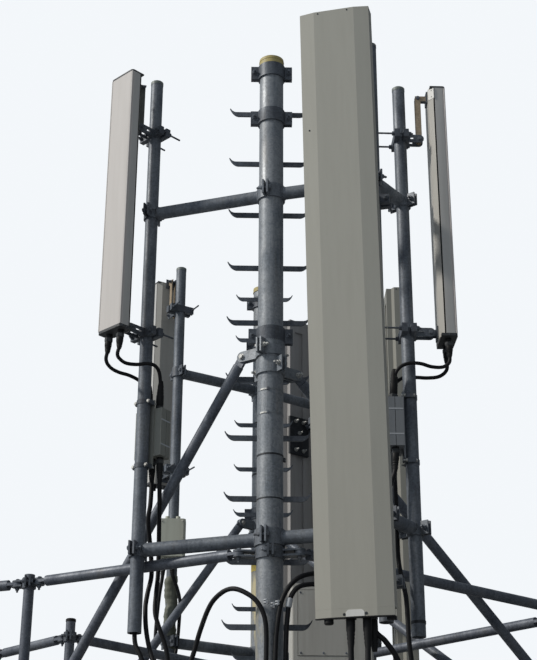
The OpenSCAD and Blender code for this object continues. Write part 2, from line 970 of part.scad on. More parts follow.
// Foot plate with two lugs for a brace's lower end
module brace_foot(xy, b) {
    drop = b[2] - brace_foot_pin_z;
    reach = brace_pin_reach + drop / tan(b[1]);
    at(xy, 0, b[0])
        translate([reach, 0, 0])
            difference() {
                union() {
                    translate([0, 0, base_t / 2])
                        cube([160, 130, base_t], center = true);
                    for (side = [-1, 1])
                        translate([0, side * (fork_gap + fork_t) / 2, 0])
                            rotate([90, 0, 0])
                                linear_extrude(fork_t, center = true)
                                    union() {
                                        translate([-fork_h / 2, base_t])
                                            square([fork_h, brace_foot_pin_z - base_t]);
                                        translate([0, brace_foot_pin_z])
                                            circle(d = fork_h);
                                    }
                }
                translate([0, 0, brace_foot_pin_z])
                    rotate([90, 0, 0])
                        cylinder(d = bolt_hole_d, h = 100, center = true);
                for (side = [-1, 1])
                    translate([side * 55, 0, -eps])
                        cylinder(d = bolt_hole_d, h = base_t + 2 * eps);
            }
}

module brace_feet() {
    color(steel) {
        brace_foot(near_xy, near_left_brace);
        brace_foot(near_xy, near_right_brace);
        brace_foot(far_xy, far_left_brace);
        brace_foot(far_xy, far_right_brace);
    }
}

// Rail between two pins in plan, with its tongues laid flat
module rail(pin_a, pin_b, z) {
    at(pin_a, z, turn_to(pin_a, pin_b))
        rotate([90, 0, 0])
            tongued_tube(norm(pin_b - pin_a));
}

// Closed collar around a mast or a post, with a level fork towards each pin
module rail_collar(xy, z, tube_d, pins) {
    at(xy, z) {
        for (turn = [0, 180])
            rotate([0, 0, turn])
                half_collar(tube_d, rail_d);
        for (pin = pins)
            rotate([0, 0, turn_to(xy, pin)])
                fork(tube_d, norm(pin - xy), true);
    }
}

near_post_pins = [post_pin(near_post_xy, near_left_pin), post_pin(near_post_xy, outer_near_post_xy)];
far_post_pins = [post_pin(far_post_xy, far_xy), post_pin(far_post_xy, outer_far_post_xy)];
right_post_pins = [post_pin(right_post_xy, near_right_pin), post_pin(right_post_xy, far_xy)];
outer_near_pin = post_pin(outer_near_post_xy, near_post_xy);
outer_far_pin = post_pin(outer_far_post_xy, far_post_xy);
far_left_pin = mast_pin(far_xy, far_post_xy);
far_right_pin = mast_pin(far_xy, right_post_xy);

module rail_collars() {
    color(dark_steel) {
        rail_collar(near_xy, rail_z, mast_d, [near_left_pin, near_right_pin]);
        rail_collar(far_xy, far_rail_z, mast_d, [far_left_pin, far_right_pin]);
        rail_collar(near_post_xy, rail_z, rail_d, near_post_pins);
        rail_collar(far_post_xy, far_rail_z, rail_d, far_post_pins);
        rail_collar(right_post_xy, rail_z, rail_d, [right_post_pins[0]]);
        rail_collar(right_post_xy, far_rail_z, rail_d, [right_post_pins[1]]);
        rail_collar(outer_near_post_xy, rail_z, rail_d, [outer_near_pin]);
        rail_collar(outer_far_post_xy, far_rail_z, rail_d, [outer_far_pin]);
    }
}

module near_rails() {
    color(steel) {
        rail(near_left_pin, near_post_pins[0], rail_z);
        rail(near_right_pin, right_post_pins[0], rail_z);
    }
}

module far_rails() {
    color(steel) {
        rail(far_left_pin, far_post_pins[0], far_rail_z);
        rail(far_right_pin, right_post_pins[1], far_rail_z);
    }
}

module outer_rails() {
    color(steel) {
        rail(near_post_pins[1], outer_near_pin, rail_z);
        rail(far_post_pins[1], outer_far_pin, far_rail_z);
    }
}

module rail_posts() {
    color(steel)
        for (xy = [near_post_xy, far_post_xy, right_post_xy, outer_near_post_xy, outer_far_post_xy])
            at(xy)
                difference() {
                    union() {
                        translate([0, 0, post_base_t / 2])
                            cube([post_base_side, post_base_side, post_base_t], center = true);
                        cylinder(d = rail_d, h = post_h);
                    }
                    translate([0, 0, post_base_t])
                        cylinder(d = rail_d - 2 * rail_wall, h = post_h);
                }
}

module cabinet_plinth() {
    color(dark_steel)
        translate([cabinet_xy[0] + 20, cabinet_xy[1] + 20, 0])
            cube([cabinet_w - 40, cabinet_depth - 40, plinth_h]);
}

module cabinet_body() {
    r = 12;
    color(radome)
        translate([cabinet_xy[0], cabinet_xy[1], plinth_h])
            difference() {
                linear_extrude(cabinet_h)
                    union() {
                        translate([r, 0])
                            square([cabinet_w - 2 * r, cabinet_depth]);
                        translate([0, r])
                            square([cabinet_w, cabinet_depth - 2 * r]);
                        for (x = [r, cabinet_w - r], y = [r, cabinet_depth - r])
                            translate([x, y])
                                circle(r);
                    }
                translate([cover_x - 4, -eps, cabinet_h - cover_drop - cover_h - 4])
                    cube([cover_w + 8, 4 + eps, cover_h + 8]);
                translate([cover_x - 4, -eps, 60])
                    cube([cover_w + 8, 4 + eps, cabinet_h - cover_drop - cover_h - 90]);
            }
}

// Two covers that lie in shallow recesses of the cabinet's front
cover_x = 34;
cover_drop = 34;

module cabinet_cover() {
    color(radome)
        translate([cabinet_xy[0] + cover_x, cabinet_xy[1] - 2, plinth_h]) {
            translate([0, 0, cabinet_h - cover_drop - cover_h])
                cube([cover_w, 5.7, cover_h]);
            translate([0, 0, 64])
                cube([cover_w, 5.7, cabinet_h - cover_drop - cover_h - 98]);
        }
}

// Cable swept along its points as one closed solid, with one more ring between each two
// points on a curve through them
cable_sides = 8;

function between_points(p, i) =
    let (a = p[max(i - 1, 0)], b = p[i], c = p[i + 1], d = p[min(i + 2, len(p) - 1)])
    (9 * (b + c) - a - d) / 16;
function smooth(p) = [for (i = [0 : 2 * len(p) - 2])
    i % 2 == 0 ? p[i / 2] : between_points(p, (i - 1) / 2)];
function unit(v) = v / norm(v);
function along(p, i) = unit(p[min(i + 1, len(p) - 1)] - p[max(i - 1, 0)]);
function square_to(t, v) = unit(v - t * (t * v));
function carried(p, i, v) = i == len(p) ? [] :
    let (u = square_to(along(p, i), v)) concat([u], carried(p, i + 1, u));

module cable(route, d) {
    p = smooth(route);
    first = along(p, 0);
    sides = carried(p, 0, abs(first[2]) > 0.9 ? [1, 0, 0] : [0, 0, 1]);
    last = len(p) - 1;
    points = [for (i = [0 : last], k = [0 : cable_sides - 1])
        let (u = sides[i], v = cross(along(p, i), u), a = 360 * k / cable_sides)
        p[i] + d / 2 * (cos(a) * u + sin(a) * v)];
    walls = [for (i = [0 : last - 1], k = [0 : cable_sides - 1])
        let (a = i * cable_sides + k, b = i * cable_sides + (k + 1) % cable_sides,
            c = b + cable_sides, e = a + cable_sides)
        each [[a, e, c], [a, c, b]]];
    start = [for (k = [0 : cable_sides - 1]) k];
    end = [for (k = [cable_sides - 1 : -1 : 0]) last * cable_sides + k];
    polyhedron(points, concat([start], walls, [end]));
}

// Routes of the cables, from socket to socket or to the cabinet
left_jumper_a = [[-687, 55, 2100], [-688, 55, 2045], [-698, 62, 2005], [-680, 85, 1990], [-655, 110, 1990],
    [-600, 132, 1998], [-548, 142, 2008], [-510, 165, 1998], [-490, 200, 1960], [-488, 224, 1895],
    [-490, 227, 1835]];
left_jumper_b = [[-739, 115, 2100], [-740, 116, 2060], [-748, 132, 2018], [-725, 162, 1992],
    [-690, 200, 1988], [-635, 255, 1998], [-580, 292, 1985], [-540, 290, 1935], [-526, 280, 1885],
    [-524, 276, 1835]];
right_jumper_a = [[815, 47, 2084], [816, 48, 2030], [810, 46, 1985], [780, 40, 1965], [720, 15, 1960],
    [665, -12, 1962], [610, -14, 1958], [568, -6, 1935], [549, 12, 1890], [546, 24, 1835]];
right_jumper_b = [[801, 126, 2084], [802, 127, 2040], [806, 130, 1990], [770, 130, 1958],
    [715, 124, 1950], [660, 118, 1950], [600, 108, 1940], [560, 92, 1895], [546, 84, 1835]];
panel_feeder_a = [[352, -394, 736], [352, -394, 620], [345, -385, 420], [335, -330, 180], [322, -230, 50],
    [318, -120, 14], [315, 100, 12], [315, 500, 12], [315, 900, 14], [315, 1025, 30], [315, 1065, 88],
    [315, 1091.7, 104]];
panel_feeder_b = [[415, -424, 736], [415, -424, 620], [400, -400, 420], [372, -330, 180], [350, -230, 50],
    [346, -120, 14], [345, 100, 12], [345, 500, 12], [345, 900, 14], [345, 1025, 30], [345, 1065, 88],
    [345, 1091.7, 104]];
panel_feeder_c = [[388, -368, 736], [390, -370, 700], [400, -374, 655], [428, -380, 612], [480, -370, 550],
    [520, -330, 440], [520, -260, 230], [465, -190, 70], [410, -110, 16], [375, 100, 12], [375, 500, 12],
    [375, 900, 14], [375, 1025, 30], [375, 1065, 88], [375, 1091.7, 104]];
arc_feeder = [[-507, 251, 1535], [-508, 251, 1450], [-524, 260, 1375], [-534, 275, 1310], [-522, 305, 1200],
    [-512, 312, 1075], [-525, 290, 985], [-530, 262, 915], [-520, 240, 805], [-490, 210, 690],
    [-440, 170, 590], [-385, 140, 570], [-345, 115, 610], [-315, 95, 680], [-285, 62, 780],
    [-245, 22, 875], [-200, -22, 915], [-155, -55, 925], [-105, -80, 905], [-55, -92, 865],
    [-22, -90, 800], [-14, -82, 700], [-22, -82, 420], [-24, -66, 250], [-28, -120, 110], [-8, -195, 40],
    [70, -232, 14], [160, -228, 12], [240, -180, 12], [275, -90, 12], [279, 20, 12], [279, 400, 12],
    [279, 900, 14], [279, 1025, 30], [279, 1065, 88], [279, 1091.7, 104]];
right_arc_a = [[546, 54, 1535], [542, 55, 1470], [510, 56, 1370], [500, 56, 1250], [480, 45, 1110],
    [430, 22, 1010], [360, 0, 975], [290, -15, 985], [215, -35, 997], [165, -52, 990], [115, -68, 968],
    [75, -80, 925], [48, -86, 870], [34, -86, 800], [24, -82, 700], [18, -82, 420], [18, -68, 250],
    [20, -120, 110], [40, -172, 40], [90, -200, 14], [160, -196, 12], [220, -150, 12], [245, -70, 12],
    [247, 20, 12], [247, 400, 12], [247, 900, 14], [247, 1025, 30], [247, 1065, 88], [247, 1091.7, 104]];
right_arc_b = [[546, 10, 1535], [542, 11, 1470], [510, 12, 1370], [500, 10, 1250], [478, 0, 1100],
    [430, -15, 980], [360, -28, 935], [290, -38, 935], [215, -48, 946], [165, -60, 945], [115, -74, 928],
    [85, -80, 885], [74, -80, 825], [66, -76, 720], [62, -60, 420], [50, -49, 250], [66, -110, 110],
    [84, -150, 40], [112, -172, 14], [160, -166, 12], [200, -120, 12], [213, -50, 12], [215, 20, 12],
    [215, 400, 12], [215, 900, 14], [215, 1025, 30], [215, 1065, 88], [215, 1091.7, 104]];
left_feeder = [[-482, 215, 1535], [-482, 222, 1470], [-486, 262, 1400], [-486, 300, 1300],
    [-486, 338, 1200], [-485, 338, 1080], [-490, 325, 990], [-490, 305, 905], [-470, 300, 840],
    [-435, 300, 740], [-400, 310, 500], [-380, 330, 200], [-370, 380, 50], [-350, 500, 12],
    [-300, 700, 12], [-200, 950, 12], [-80, 1130, 14], [40, 1200, 24], [100, 1210, 84],
    [129.7, 1210, 104]];
pipe_cable = [[-568, 205, 900], [-568, 205, 790], [-562, 204, 745], [-540, 196, 700], [-500, 190, 600],
    [-460, 210, 400], [-430, 260, 180], [-410, 350, 50], [-390, 500, 12], [-340, 720, 12],
    [-240, 980, 12], [-100, 1170, 14], [30, 1245, 24], [100, 1250, 84], [129.7, 1250, 104]];
right_feeder = [[546, 98, 1535], [548, 100, 1450], [551, 103, 1350], [552, 104, 1200], [552, 98, 1110],
    [556, 75, 1040], [562, 40, 980], [570, 10, 900], [574, 0, 730], [584, 12, 620], [580, 60, 400],
    [560, 150, 180], [520, 280, 50], [470, 420, 12], [430, 600, 12], [405, 800, 12], [405, 1000, 20],
    [405, 1060, 86], [405, 1091.7, 104]];
far_feeder_a = [[-551, 2017, 1591], [-556, 2022, 1500], [-570, 2034, 1400], [-584, 2048, 1200],
    [-584, 2050, 1000], [-576, 2048, 500], [-560, 2020, 150], [-510, 1930, 40], [-420, 1800, 12],
    [-260, 1600, 12], [-80, 1400, 14], [40, 1310, 24], [100, 1290, 84], [129.7, 1290, 104]];
far_feeder_b = [[-507, 2017, 1591], [-512, 2022, 1500], [-536, 2034, 1400], [-553, 2048, 1200],
    [-553, 2050, 1000], [-548, 2048, 500], [-530, 2030, 150], [-490, 1960, 40], [-400, 1840, 12],
    [-240, 1640, 12], [-60, 1440, 14], [40, 1350, 24], [100, 1330, 84], [129.7, 1330, 104]];

module jumper_cables() {
    color(dark_steel)
        for (route = [left_jumper_a, left_jumper_b, right_jumper_a, right_jumper_b])
            cable(route, jumper_d);
}

module panel_feeders() {
    color(dark_steel)
        for (route = [panel_feeder_a, panel_feeder_b, panel_feeder_c])
            cable(route, feeder_d);
}

module mast_feeders() {
    color(dark_steel)
        for (route = [arc_feeder, right_arc_a, right_arc_b])
            cable(route, feeder_d);
}

module side_feeders() {
    color(dark_steel)
        for (route = [left_feeder, pipe_cable, right_feeder, far_feeder_a, far_feeder_b])
            cable(route, feeder_d - 2);
}

near_mast();
far_mast();
mast_caps();
near_ladder();
far_ladder();
near_rungs();
far_rungs();
ladder_clamps();
near_upper_arms();
near_lower_arms();
far_upper_arms();
far_lower_arms();
near_links();
far_links();
pipe_clamps();
near_left_pipe();
near_panel_pipe();
near_right_pipe();
far_left_pipe();
far_panel_pipe();
far_right_pipe();
near_left_antenna();
near_panel_antenna();
near_right_antenna();
far_left_antenna();
far_panel_antenna();
far_right_antenna();
near_left_brackets();
near_panel_brackets();
near_right_brackets();
far_left_brackets();
far_panel_brackets();
far_right_brackets();
near_amplifiers();
far_amplifiers();
brace_collars();
near_braces();
far_braces();
brace_feet();
rail_collars();
near_rails();
far_rails();
outer_rails();
rail_posts();
cabinet_plinth();
cabinet_body();
cabinet_cover();
jumper_cables();
panel_feeders();
mast_feeders();
side_feeders();
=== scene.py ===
# Rooftop cell site: braced tube masts with antennas, seen from below and in front.
# Metres, in the CAD's frame: +X right, +Y from the near mast to the far mast, +Z up.
import bpy, bmesh, random
from math import cos, pi, radians, sin, tan
from mathutils import Matrix, Vector


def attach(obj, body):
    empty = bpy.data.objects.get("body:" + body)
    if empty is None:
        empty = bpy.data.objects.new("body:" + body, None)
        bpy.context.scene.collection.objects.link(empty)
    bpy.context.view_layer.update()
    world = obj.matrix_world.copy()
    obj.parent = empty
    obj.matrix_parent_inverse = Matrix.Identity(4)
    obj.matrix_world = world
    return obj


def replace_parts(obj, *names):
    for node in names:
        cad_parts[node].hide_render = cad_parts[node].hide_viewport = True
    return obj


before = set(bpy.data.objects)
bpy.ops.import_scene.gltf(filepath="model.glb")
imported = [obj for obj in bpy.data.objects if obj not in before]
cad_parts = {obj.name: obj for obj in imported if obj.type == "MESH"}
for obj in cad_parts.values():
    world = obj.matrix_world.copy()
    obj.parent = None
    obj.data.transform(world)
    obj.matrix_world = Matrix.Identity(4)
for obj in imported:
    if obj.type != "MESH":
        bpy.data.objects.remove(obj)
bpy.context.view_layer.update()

# Camera: stands below roof level and looks up at the near mast, as the photograph does.
# The photograph is 537 by 660, and its focal length is 1450 of its pixels.
FOCAL, PHOTO_HIGH = 1450, 660
VIEW_FROM = Vector((-0.128, -5.948, -0.539))
PITCH, YAW, ROLL = radians(24.076), radians(1.142), radians(0.258)
forward = Vector((sin(YAW) * cos(PITCH), cos(YAW) * cos(PITCH), sin(PITCH)))
level = Vector((cos(YAW), -sin(YAW), 0))
upward = level.cross(forward)
across = level * cos(ROLL) + upward * sin(ROLL)
upward = upward * cos(ROLL) - level * sin(ROLL)
camera_data = bpy.data.cameras.new("camera")
camera_data.lens = camera_data.sensor_width * FOCAL / PHOTO_HIGH
camera = bpy.data.objects.new("camera", camera_data)
turned = Matrix((across, upward, -forward)).transposed().to_4x4()
camera.matrix_world = Matrix.Translation(VIEW_FROM) @ turned
bpy.context.collection.objects.link(camera)
bpy.context.scene.camera = camera
bpy.context.scene.view_settings.view_transform = "Standard"

# Daylight: a pale even sky, and a sun low on the left that lights one edge of every tube.
# The sky's light falls off from the left to the right, while the camera sees it plain.
SKY_LIGHT, SKY_SEEN = (0.82, 0.91, 1.0, 1), (0.9, 0.93, 0.96, 1)
LEFT_STRENGTH, RIGHT_STRENGTH = 0.6, 0.12
SUN_FROM, SUN_STRENGTH, SUN_COLOUR = Vector((-0.79, -0.17, 0.59)), 2.4, (1.0, 0.96, 0.89)


def two_faced(tree, lit, seen, output):
    """Shows one shader to the camera and gives another one's light to everything else."""
    mixed, rays = tree.nodes.new("ShaderNodeMixShader"), tree.nodes.new("ShaderNodeLightPath")
    tree.links.new(rays.outputs["Is Camera Ray"], mixed.inputs[0])
    tree.links.new(lit.outputs[0], mixed.inputs[1])
    tree.links.new(seen.outputs[0], mixed.inputs[2])
    tree.links.new(mixed.outputs[0], tree.nodes.new(output).inputs["Surface"])


def span(tree, value, low, high, to_low=0.0, to_high=1.0):
    """Maps a value's range from low..high to another range, clamped."""
    node = tree.nodes.new("ShaderNodeMapRange")
    tree.links.new(value, node.inputs["Value"])
    for name, number in (("From Min", low), ("From Max", high), ("To Min", to_low), ("To Max", to_high)):
        node.inputs[name].default_value = number
    return node.outputs["Result"]


sky = bpy.data.worlds.new("pale_sky")
bpy.context.scene.world = sky
sky.use_nodes = True
air = sky.node_tree
air.nodes.clear()
lit, seen = (air.nodes.new("ShaderNodeBackground") for _ in range(2))
lit.inputs["Color"].default_value, seen.inputs["Color"].default_value = SKY_LIGHT, SKY_SEEN
aim, parts = air.nodes.new("ShaderNodeTexCoord"), air.nodes.new("ShaderNodeSeparateXYZ")
air.links.new(aim.outputs["Generated"], parts.inputs[0])
air.links.new(span(air, parts.outputs["X"], -1, 1, LEFT_STRENGTH, RIGHT_STRENGTH), lit.inputs["Strength"])
two_faced(air, lit, seen, "ShaderNodeOutputWorld")
sun_data = bpy.data.lights.new("sun", "SUN")
sun_data.energy, sun_data.angle, sun_data.color = SUN_STRENGTH, radians(6), SUN_COLOUR
sun = bpy.data.objects.new("sun", sun_data)
sun.rotation_euler = SUN_FROM.to_track_quat("Z", "Y").to_euler()
bpy.context.collection.objects.link(sun)

# Roof: a plain pale floor that starts in front of the masts, out of the camera's sight.
# It is pale where it is looked at, and throws up only a little light, as roof felt does.
ROOF_SEEN, ROOF_BOUNCE = (0.8, 0.8, 0.78, 1), (0.22, 0.22, 0.215, 1)
floor_mesh = bpy.data.meshes.new("roof")
floor_mesh.from_pydata([(-7, -2.6, 0), (7, -2.6, 0), (7, 9, 0), (-7, 9, 0)], [], [(0, 1, 2, 3)])
floor = bpy.data.objects.new("roof", floor_mesh)
bpy.context.collection.objects.link(floor)
roof = bpy.data.materials.new("roof_floor")
roof.use_nodes = True
felt = roof.node_tree
felt.nodes.clear()
lit, seen = (felt.nodes.new("ShaderNodeBsdfDiffuse") for _ in range(2))
lit.inputs["Color"].default_value, seen.inputs["Color"].default_value = ROOF_BOUNCE, ROOF_SEEN
two_faced(felt, lit, seen, "ShaderNodeOutputMaterial")
floor_mesh.materials.append(roof)

# Galvanised steel: zinc with a cloudy spangle, streaks that run down it, and stains.
# Every tube, collar, clamp and bolt of the frame wears it, each in its own tone.


def new_group(name, colours, numbers):
    """A node group with named inputs that gives a colour, a roughness and a height; returns its parts."""
    group = bpy.data.node_groups.new(name, "ShaderNodeTree")
    sockets = [(socket, "INPUT", "Color", value) for socket, value in colours.items()]
    sockets += [(socket, "INPUT", "Float", value) for socket, value in numbers.items()]
    for socket, way, kind, value in sockets:
        group.interface.new_socket(socket, in_out=way, socket_type="NodeSocket" + kind).default_value = value
    for socket, kind in (("Color", "Color"), ("Roughness", "Float"), ("Height", "Float")):
        group.interface.new_socket(socket, in_out="OUTPUT", socket_type="NodeSocket" + kind)
    return group, group.nodes.new("NodeGroupInput"), group.nodes.new("NodeGroupOutput")


def noise_node(tree, squeeze, scale, detail):
    """Noise over the object's own metres, squeezed along each axis."""
    where = tree.nodes.new("ShaderNodeTexCoord")
    mapping = tree.nodes.new("ShaderNodeMapping")
    mapping.inputs["Scale"].default_value = squeeze
    noise = tree.nodes.new("ShaderNodeTexNoise")
    for socket, value in (("Scale", scale), ("Detail", detail), ("Roughness", 0.55)):
        noise.inputs[socket].default_value = value
    tree.links.new(where.outputs["Object"], mapping.inputs["Vector"])
    tree.links.new(mapping.outputs["Vector"], noise.inputs["Vector"])
    return noise.outputs["Fac"]


def blend_colours(tree, factor, first, second, mode="MIX"):
    """Mixes two colours, each a socket or a plain colour."""
    node = tree.nodes.new("ShaderNodeMix")
    node.data_type, node.blend_type = "RGBA", mode
    for socket, value in ((node.inputs[0], factor), (node.inputs[6], first), (node.inputs[7], second)):
        if isinstance(value, bpy.types.NodeSocket):
            tree.links.new(value, socket)
        else:
            socket.default_value = value
    return node.outputs[2]


def multiply(tree, first, second):
    """Product of a socket and a socket or a number."""
    node = tree.nodes.new("ShaderNodeMath")
    node.operation = "MULTIPLY"
    tree.links.new(first, node.inputs[0])
    if isinstance(second, bpy.types.NodeSocket):
        tree.links.new(second, node.inputs[1])
    else:
        node.inputs[1].default_value = second
    return node.outputs[0]


zinc, zinc_in, zinc_out = new_group(
    "zinc_patina",
    {"Fresh": (0.3, 0.32, 0.34, 1), "Dull": (0.1, 0.12, 0.14, 1), "Stain": (0.16, 0.12, 0.08, 1)},
    {"Streaks": 0.6, "Stains": 0.2})
streaks = span(zinc, noise_node(zinc, (1, 1, 0.08), 70, 6), 0.38, 0.66)
clouds = span(zinc, noise_node(zinc, (1, 1, 0.6), 9, 6), 0.35, 0.68)
grains = zinc.nodes.new("ShaderNodeTexVoronoi")
grains.inputs["Scale"].default_value = 130
grain_place = zinc.nodes.new("ShaderNodeTexCoord")
zinc.links.new(grain_place.outputs["Object"], grains.inputs["Vector"])
grain_tone = zinc.nodes.new("ShaderNodeSeparateColor")
zinc.links.new(grains.outputs["Color"], grain_tone.inputs["Color"])
streaked = multiply(zinc, streaks, zinc_in.outputs["Streaks"])
tone = blend_colours(zinc, clouds, zinc_in.outputs["Dull"], zinc_in.outputs["Fresh"])
tone = blend_colours(zinc, streaked, tone, zinc_in.outputs["Fresh"])
grain_shade = span(zinc, grain_tone.outputs[0], 0, 1, 0.82, 1.14)
shade_colour = zinc.nodes.new("ShaderNodeCombineColor")
for channel in range(3):
    zinc.links.new(grain_shade, shade_colour.inputs[channel])
tone = blend_colours(zinc, 1.0, tone, shade_colour.outputs[0], "MULTIPLY")
drips = multiply(zinc, span(zinc, noise_node(zinc, (1, 1, 0.12), 26, 4), 0.56, 0.72),
                 zinc_in.outputs["Stains"])
zinc.links.new(blend_colours(zinc, drips, tone, zinc_in.outputs["Stain"]), zinc_out.inputs["Color"])
zinc.links.new(span(zinc, clouds, 0, 1, 0.58, 0.4), zinc_out.inputs["Roughness"])
zinc.links.new(noise_node(zinc, (1, 1, 0.5), 160, 3), zinc_out.inputs["Height"])


def worn_material(name, group, values, metallic, gleam, relief):
    """A material with a group's wear: gleam is its specular level, relief its bumps in metres."""
    material = bpy.data.materials.new(name)
    material.use_nodes = True
    tree, shader = material.node_tree, material.node_tree.nodes["Principled BSDF"]
    wear, bumps = tree.nodes.new("ShaderNodeGroup"), tree.nodes.new("ShaderNodeBump")
    wear.node_tree = group
    for socket, value in values.items():
        wear.inputs[socket].default_value = value
    for node, socket, value in ((shader, "Metallic", metallic), (shader, "Specular IOR Level", gleam),
                                (bumps, "Distance", relief)):
        node.inputs[socket].default_value = value
    tree.links.new(wear.outputs["Color"], shader.inputs["Base Color"])
    tree.links.new(wear.outputs["Roughness"], shader.inputs["Roughness"])
    tree.links.new(wear.outputs["Height"], bumps.inputs["Height"])
    tree.links.new(bumps.outputs["Normal"], shader.inputs["Normal"])
    return material


def zinc_material(name, fresh, dull, stain, streaks, stains, metallic=0.2):
    """A galvanised finish with its own tones."""
    tones = {"Fresh": (*fresh, 1), "Dull": (*dull, 1), "Stain": (*stain, 1),
             "Streaks": streaks, "Stains": stains}
    return worn_material(name, zinc, tones, metallic, 0.35, 0.0006)


def finish(nodes, material):
    """Gives CAD nodes a material."""
    for name in nodes:
        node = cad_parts[name]
        node.data.materials.clear()
        node.data.materials.append(material)


# Paint, radomes and plastics: an even colour with dirt that runs down and fine dust specks.
# The radomes, cases, caps, cabinet and cable sheaths wear it, each in its own colour.
weathered, weathered_in, weathered_out = new_group(
    "weathered_skin", {"Base": (0.5, 0.5, 0.5, 1), "Dirt": (0.2, 0.19, 0.17, 1)},
    {"Runs": 0.3, "Specks": 0.2})
runs = multiply(weathered, span(weathered, noise_node(weathered, (1, 1, 0.05), 40, 5), 0.42, 0.75),
                weathered_in.outputs["Runs"])
specks = multiply(weathered, span(weathered, noise_node(weathered, (1, 1, 1), 220, 2), 0.66, 0.74),
                  weathered_in.outputs["Specks"])
skin = blend_colours(weathered, runs, weathered_in.outputs["Base"], weathered_in.outputs["Dirt"])
skin = blend_colours(weathered, specks, skin, weathered_in.outputs["Dirt"])
weathered.links.new(skin, weathered_out.inputs["Color"])
weathered.links.new(span(weathered, noise_node(weathered, (1, 1, 0.3), 12, 4), 0.3, 0.7, 0.45, 0.62),
                    weathered_out.inputs["Roughness"])
weathered.links.new(noise_node(weathered, (1, 1, 1), 300, 2), weathered_out.inputs["Height"])


def skin_material(name, base, dirt, runs, specks, gleam=0.3):
    """A painted or moulded finish with its own tones."""
    tones = {"Base": (*base, 1), "Dirt": (*dirt, 1), "Runs": runs, "Specks": specks}
    return worn_material(name, weathered, tones, 0.0, gleam, 0.0002)


# Masts: hot-dip galvanised tubes on gusseted plates, each held down by four anchor bolts.
# Steel bands and dark tape are wrapped round them, and old paint and stains run down them.
MAST_TONES = ((0.3, 0.315, 0.335), (0.15, 0.172, 0.2), (0.15, 0.12, 0.08), 0.6, 0.25)
bright_zinc = zinc_material("bright_zinc", (0.6, 0.6, 0.58), (0.34, 0.34, 0.33),
                            (0.22, 0.15, 0.08), 0.3, 0.3, 0.5)
NEAR, FAR = Vector((0, 0)), Vector((0, 2.386))
MAST, PIPE, RAIL = 0.1143, 0.0603, 0.0483
chance = random.Random(7)


def polar(start, reach, turn):
    """A point in plan at a distance and a turn in degrees from another."""
    return Vector((start[0] + reach * cos(radians(turn)), start[1] + reach * sin(radians(turn))))


def heading(turn):
    """Level unit vector for a turn in degrees."""
    return Vector((cos(radians(turn)), sin(radians(turn)), 0))


UP = Vector((0, 0, 1))


def at(place, z):
    """The point above a place in plan."""
    return Vector((*place, z))


def join_rows(mesh, rows, closed=False):
    """Faces between rows of points and over both ends, unless the rows close; returns the sides."""
    sides = [mesh.faces.new((one[k - 1], one[k], two[k], two[k - 1]))
             for one, two in zip(rows, rows[1:] + (rows[:1] if closed else [])) for k in range(len(one))]
    if not closed:
        mesh.faces.new(rows[0][::-1])
        mesh.faces.new(rows[-1])
    return sides


def lathe(mesh, start, axis, profile, sides=16, closed=False, turn=0.0):
    """Turns a profile of (distance along the axis, radius) into a solid, or a ring if closed."""
    axis = axis.normalized()
    u = axis.orthogonal().normalized()
    v = axis.cross(u)
    angles = [turn + 2 * pi * k / sides for k in range(sides)]
    rings = []
    for along, radius in profile:
        centre = start + axis * along
        rings.append([mesh.verts.new(centre + (u * cos(a) + v * sin(a)) * radius) for a in angles])
    join_rows(mesh, rings, closed)


def band(mesh, centre, axis, inner, width, thick, sides=40):
    """A flat hoop around an axis."""
    lathe(mesh, centre - axis * width / 2, axis,
          [(0, inner), (0, inner + thick), (width, inner + thick), (width, inner)], sides, True)


def block(mesh, centre, turn, size, tilt=0.0):
    """A box turned in plan, with slightly broken edges."""
    spin = Matrix.Rotation(radians(turn), 4, "Z") @ Matrix.Rotation(radians(tilt), 4, "X")
    place = Matrix.Translation(centre) @ spin @ Matrix.Diagonal((*size, 1))
    made = bmesh.ops.create_cube(mesh, size=1, matrix=place)
    edges = {edge for vert in made["verts"] for edge in vert.link_edges}
    bmesh.ops.bevel(mesh, geom=list(edges), offset=min(size) * 0.12, segments=2, affect="EDGES")


def add_piece(name, mesh, material, smooth=32):
    """Makes a piece of the finished mesh, shaded smooth up to an angle in degrees."""
    bmesh.ops.recalc_face_normals(mesh, faces=mesh.faces)
    data = bpy.data.meshes.new(name)
    mesh.to_mesh(data)
    mesh.free()
    data.polygons.foreach_set("use_smooth", [True] * len(data.polygons))
    data.set_sharp_from_angle(angle=radians(smooth))
    for layer in (material if isinstance(material, list) else [material]):
        data.materials.append(layer)
    piece = bpy.data.objects.new(name, data)
    bpy.context.collection.objects.link(piece)
    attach(piece, "root")
    return piece


def refit(name, node, material, move):
    """A piece with a CAD node's shape whose points are moved a little, in that node's place."""
    mesh = bmesh.new()
    mesh.from_mesh(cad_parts[node].data)
    for vert in mesh.verts:
        vert.co = move(vert.co)
    piece = add_piece(name, mesh, material)
    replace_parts(piece, node)
    return piece


def thread(length, radius, pitch=0.0028):
    """Profile of a threaded end."""
    count = max(2, round(length / pitch))
    rows = [(length * k / count, radius * (1 if k % 2 else 0.86)) for k in range(count)]
    return rows + [(length, radius * 0.7)]


def nut(mesh, start, axis, size, high=0.84):
    """A washer and a hexagon nut; size is the washer's radius. Returns the nut's outer end."""
    lathe(mesh, start, axis, [(0, size), (size * 0.18, size), (size * 0.2, size * 0.9)], 20)
    foot = start + axis * size * 0.2
    flats = [(0, size * 0.86), (size * high * 0.86, size * 0.86), (size * high, size * 0.74)]
    lathe(mesh, foot, axis, flats, 6, turn=chance.uniform(0, 1))
    return foot + axis * size * high


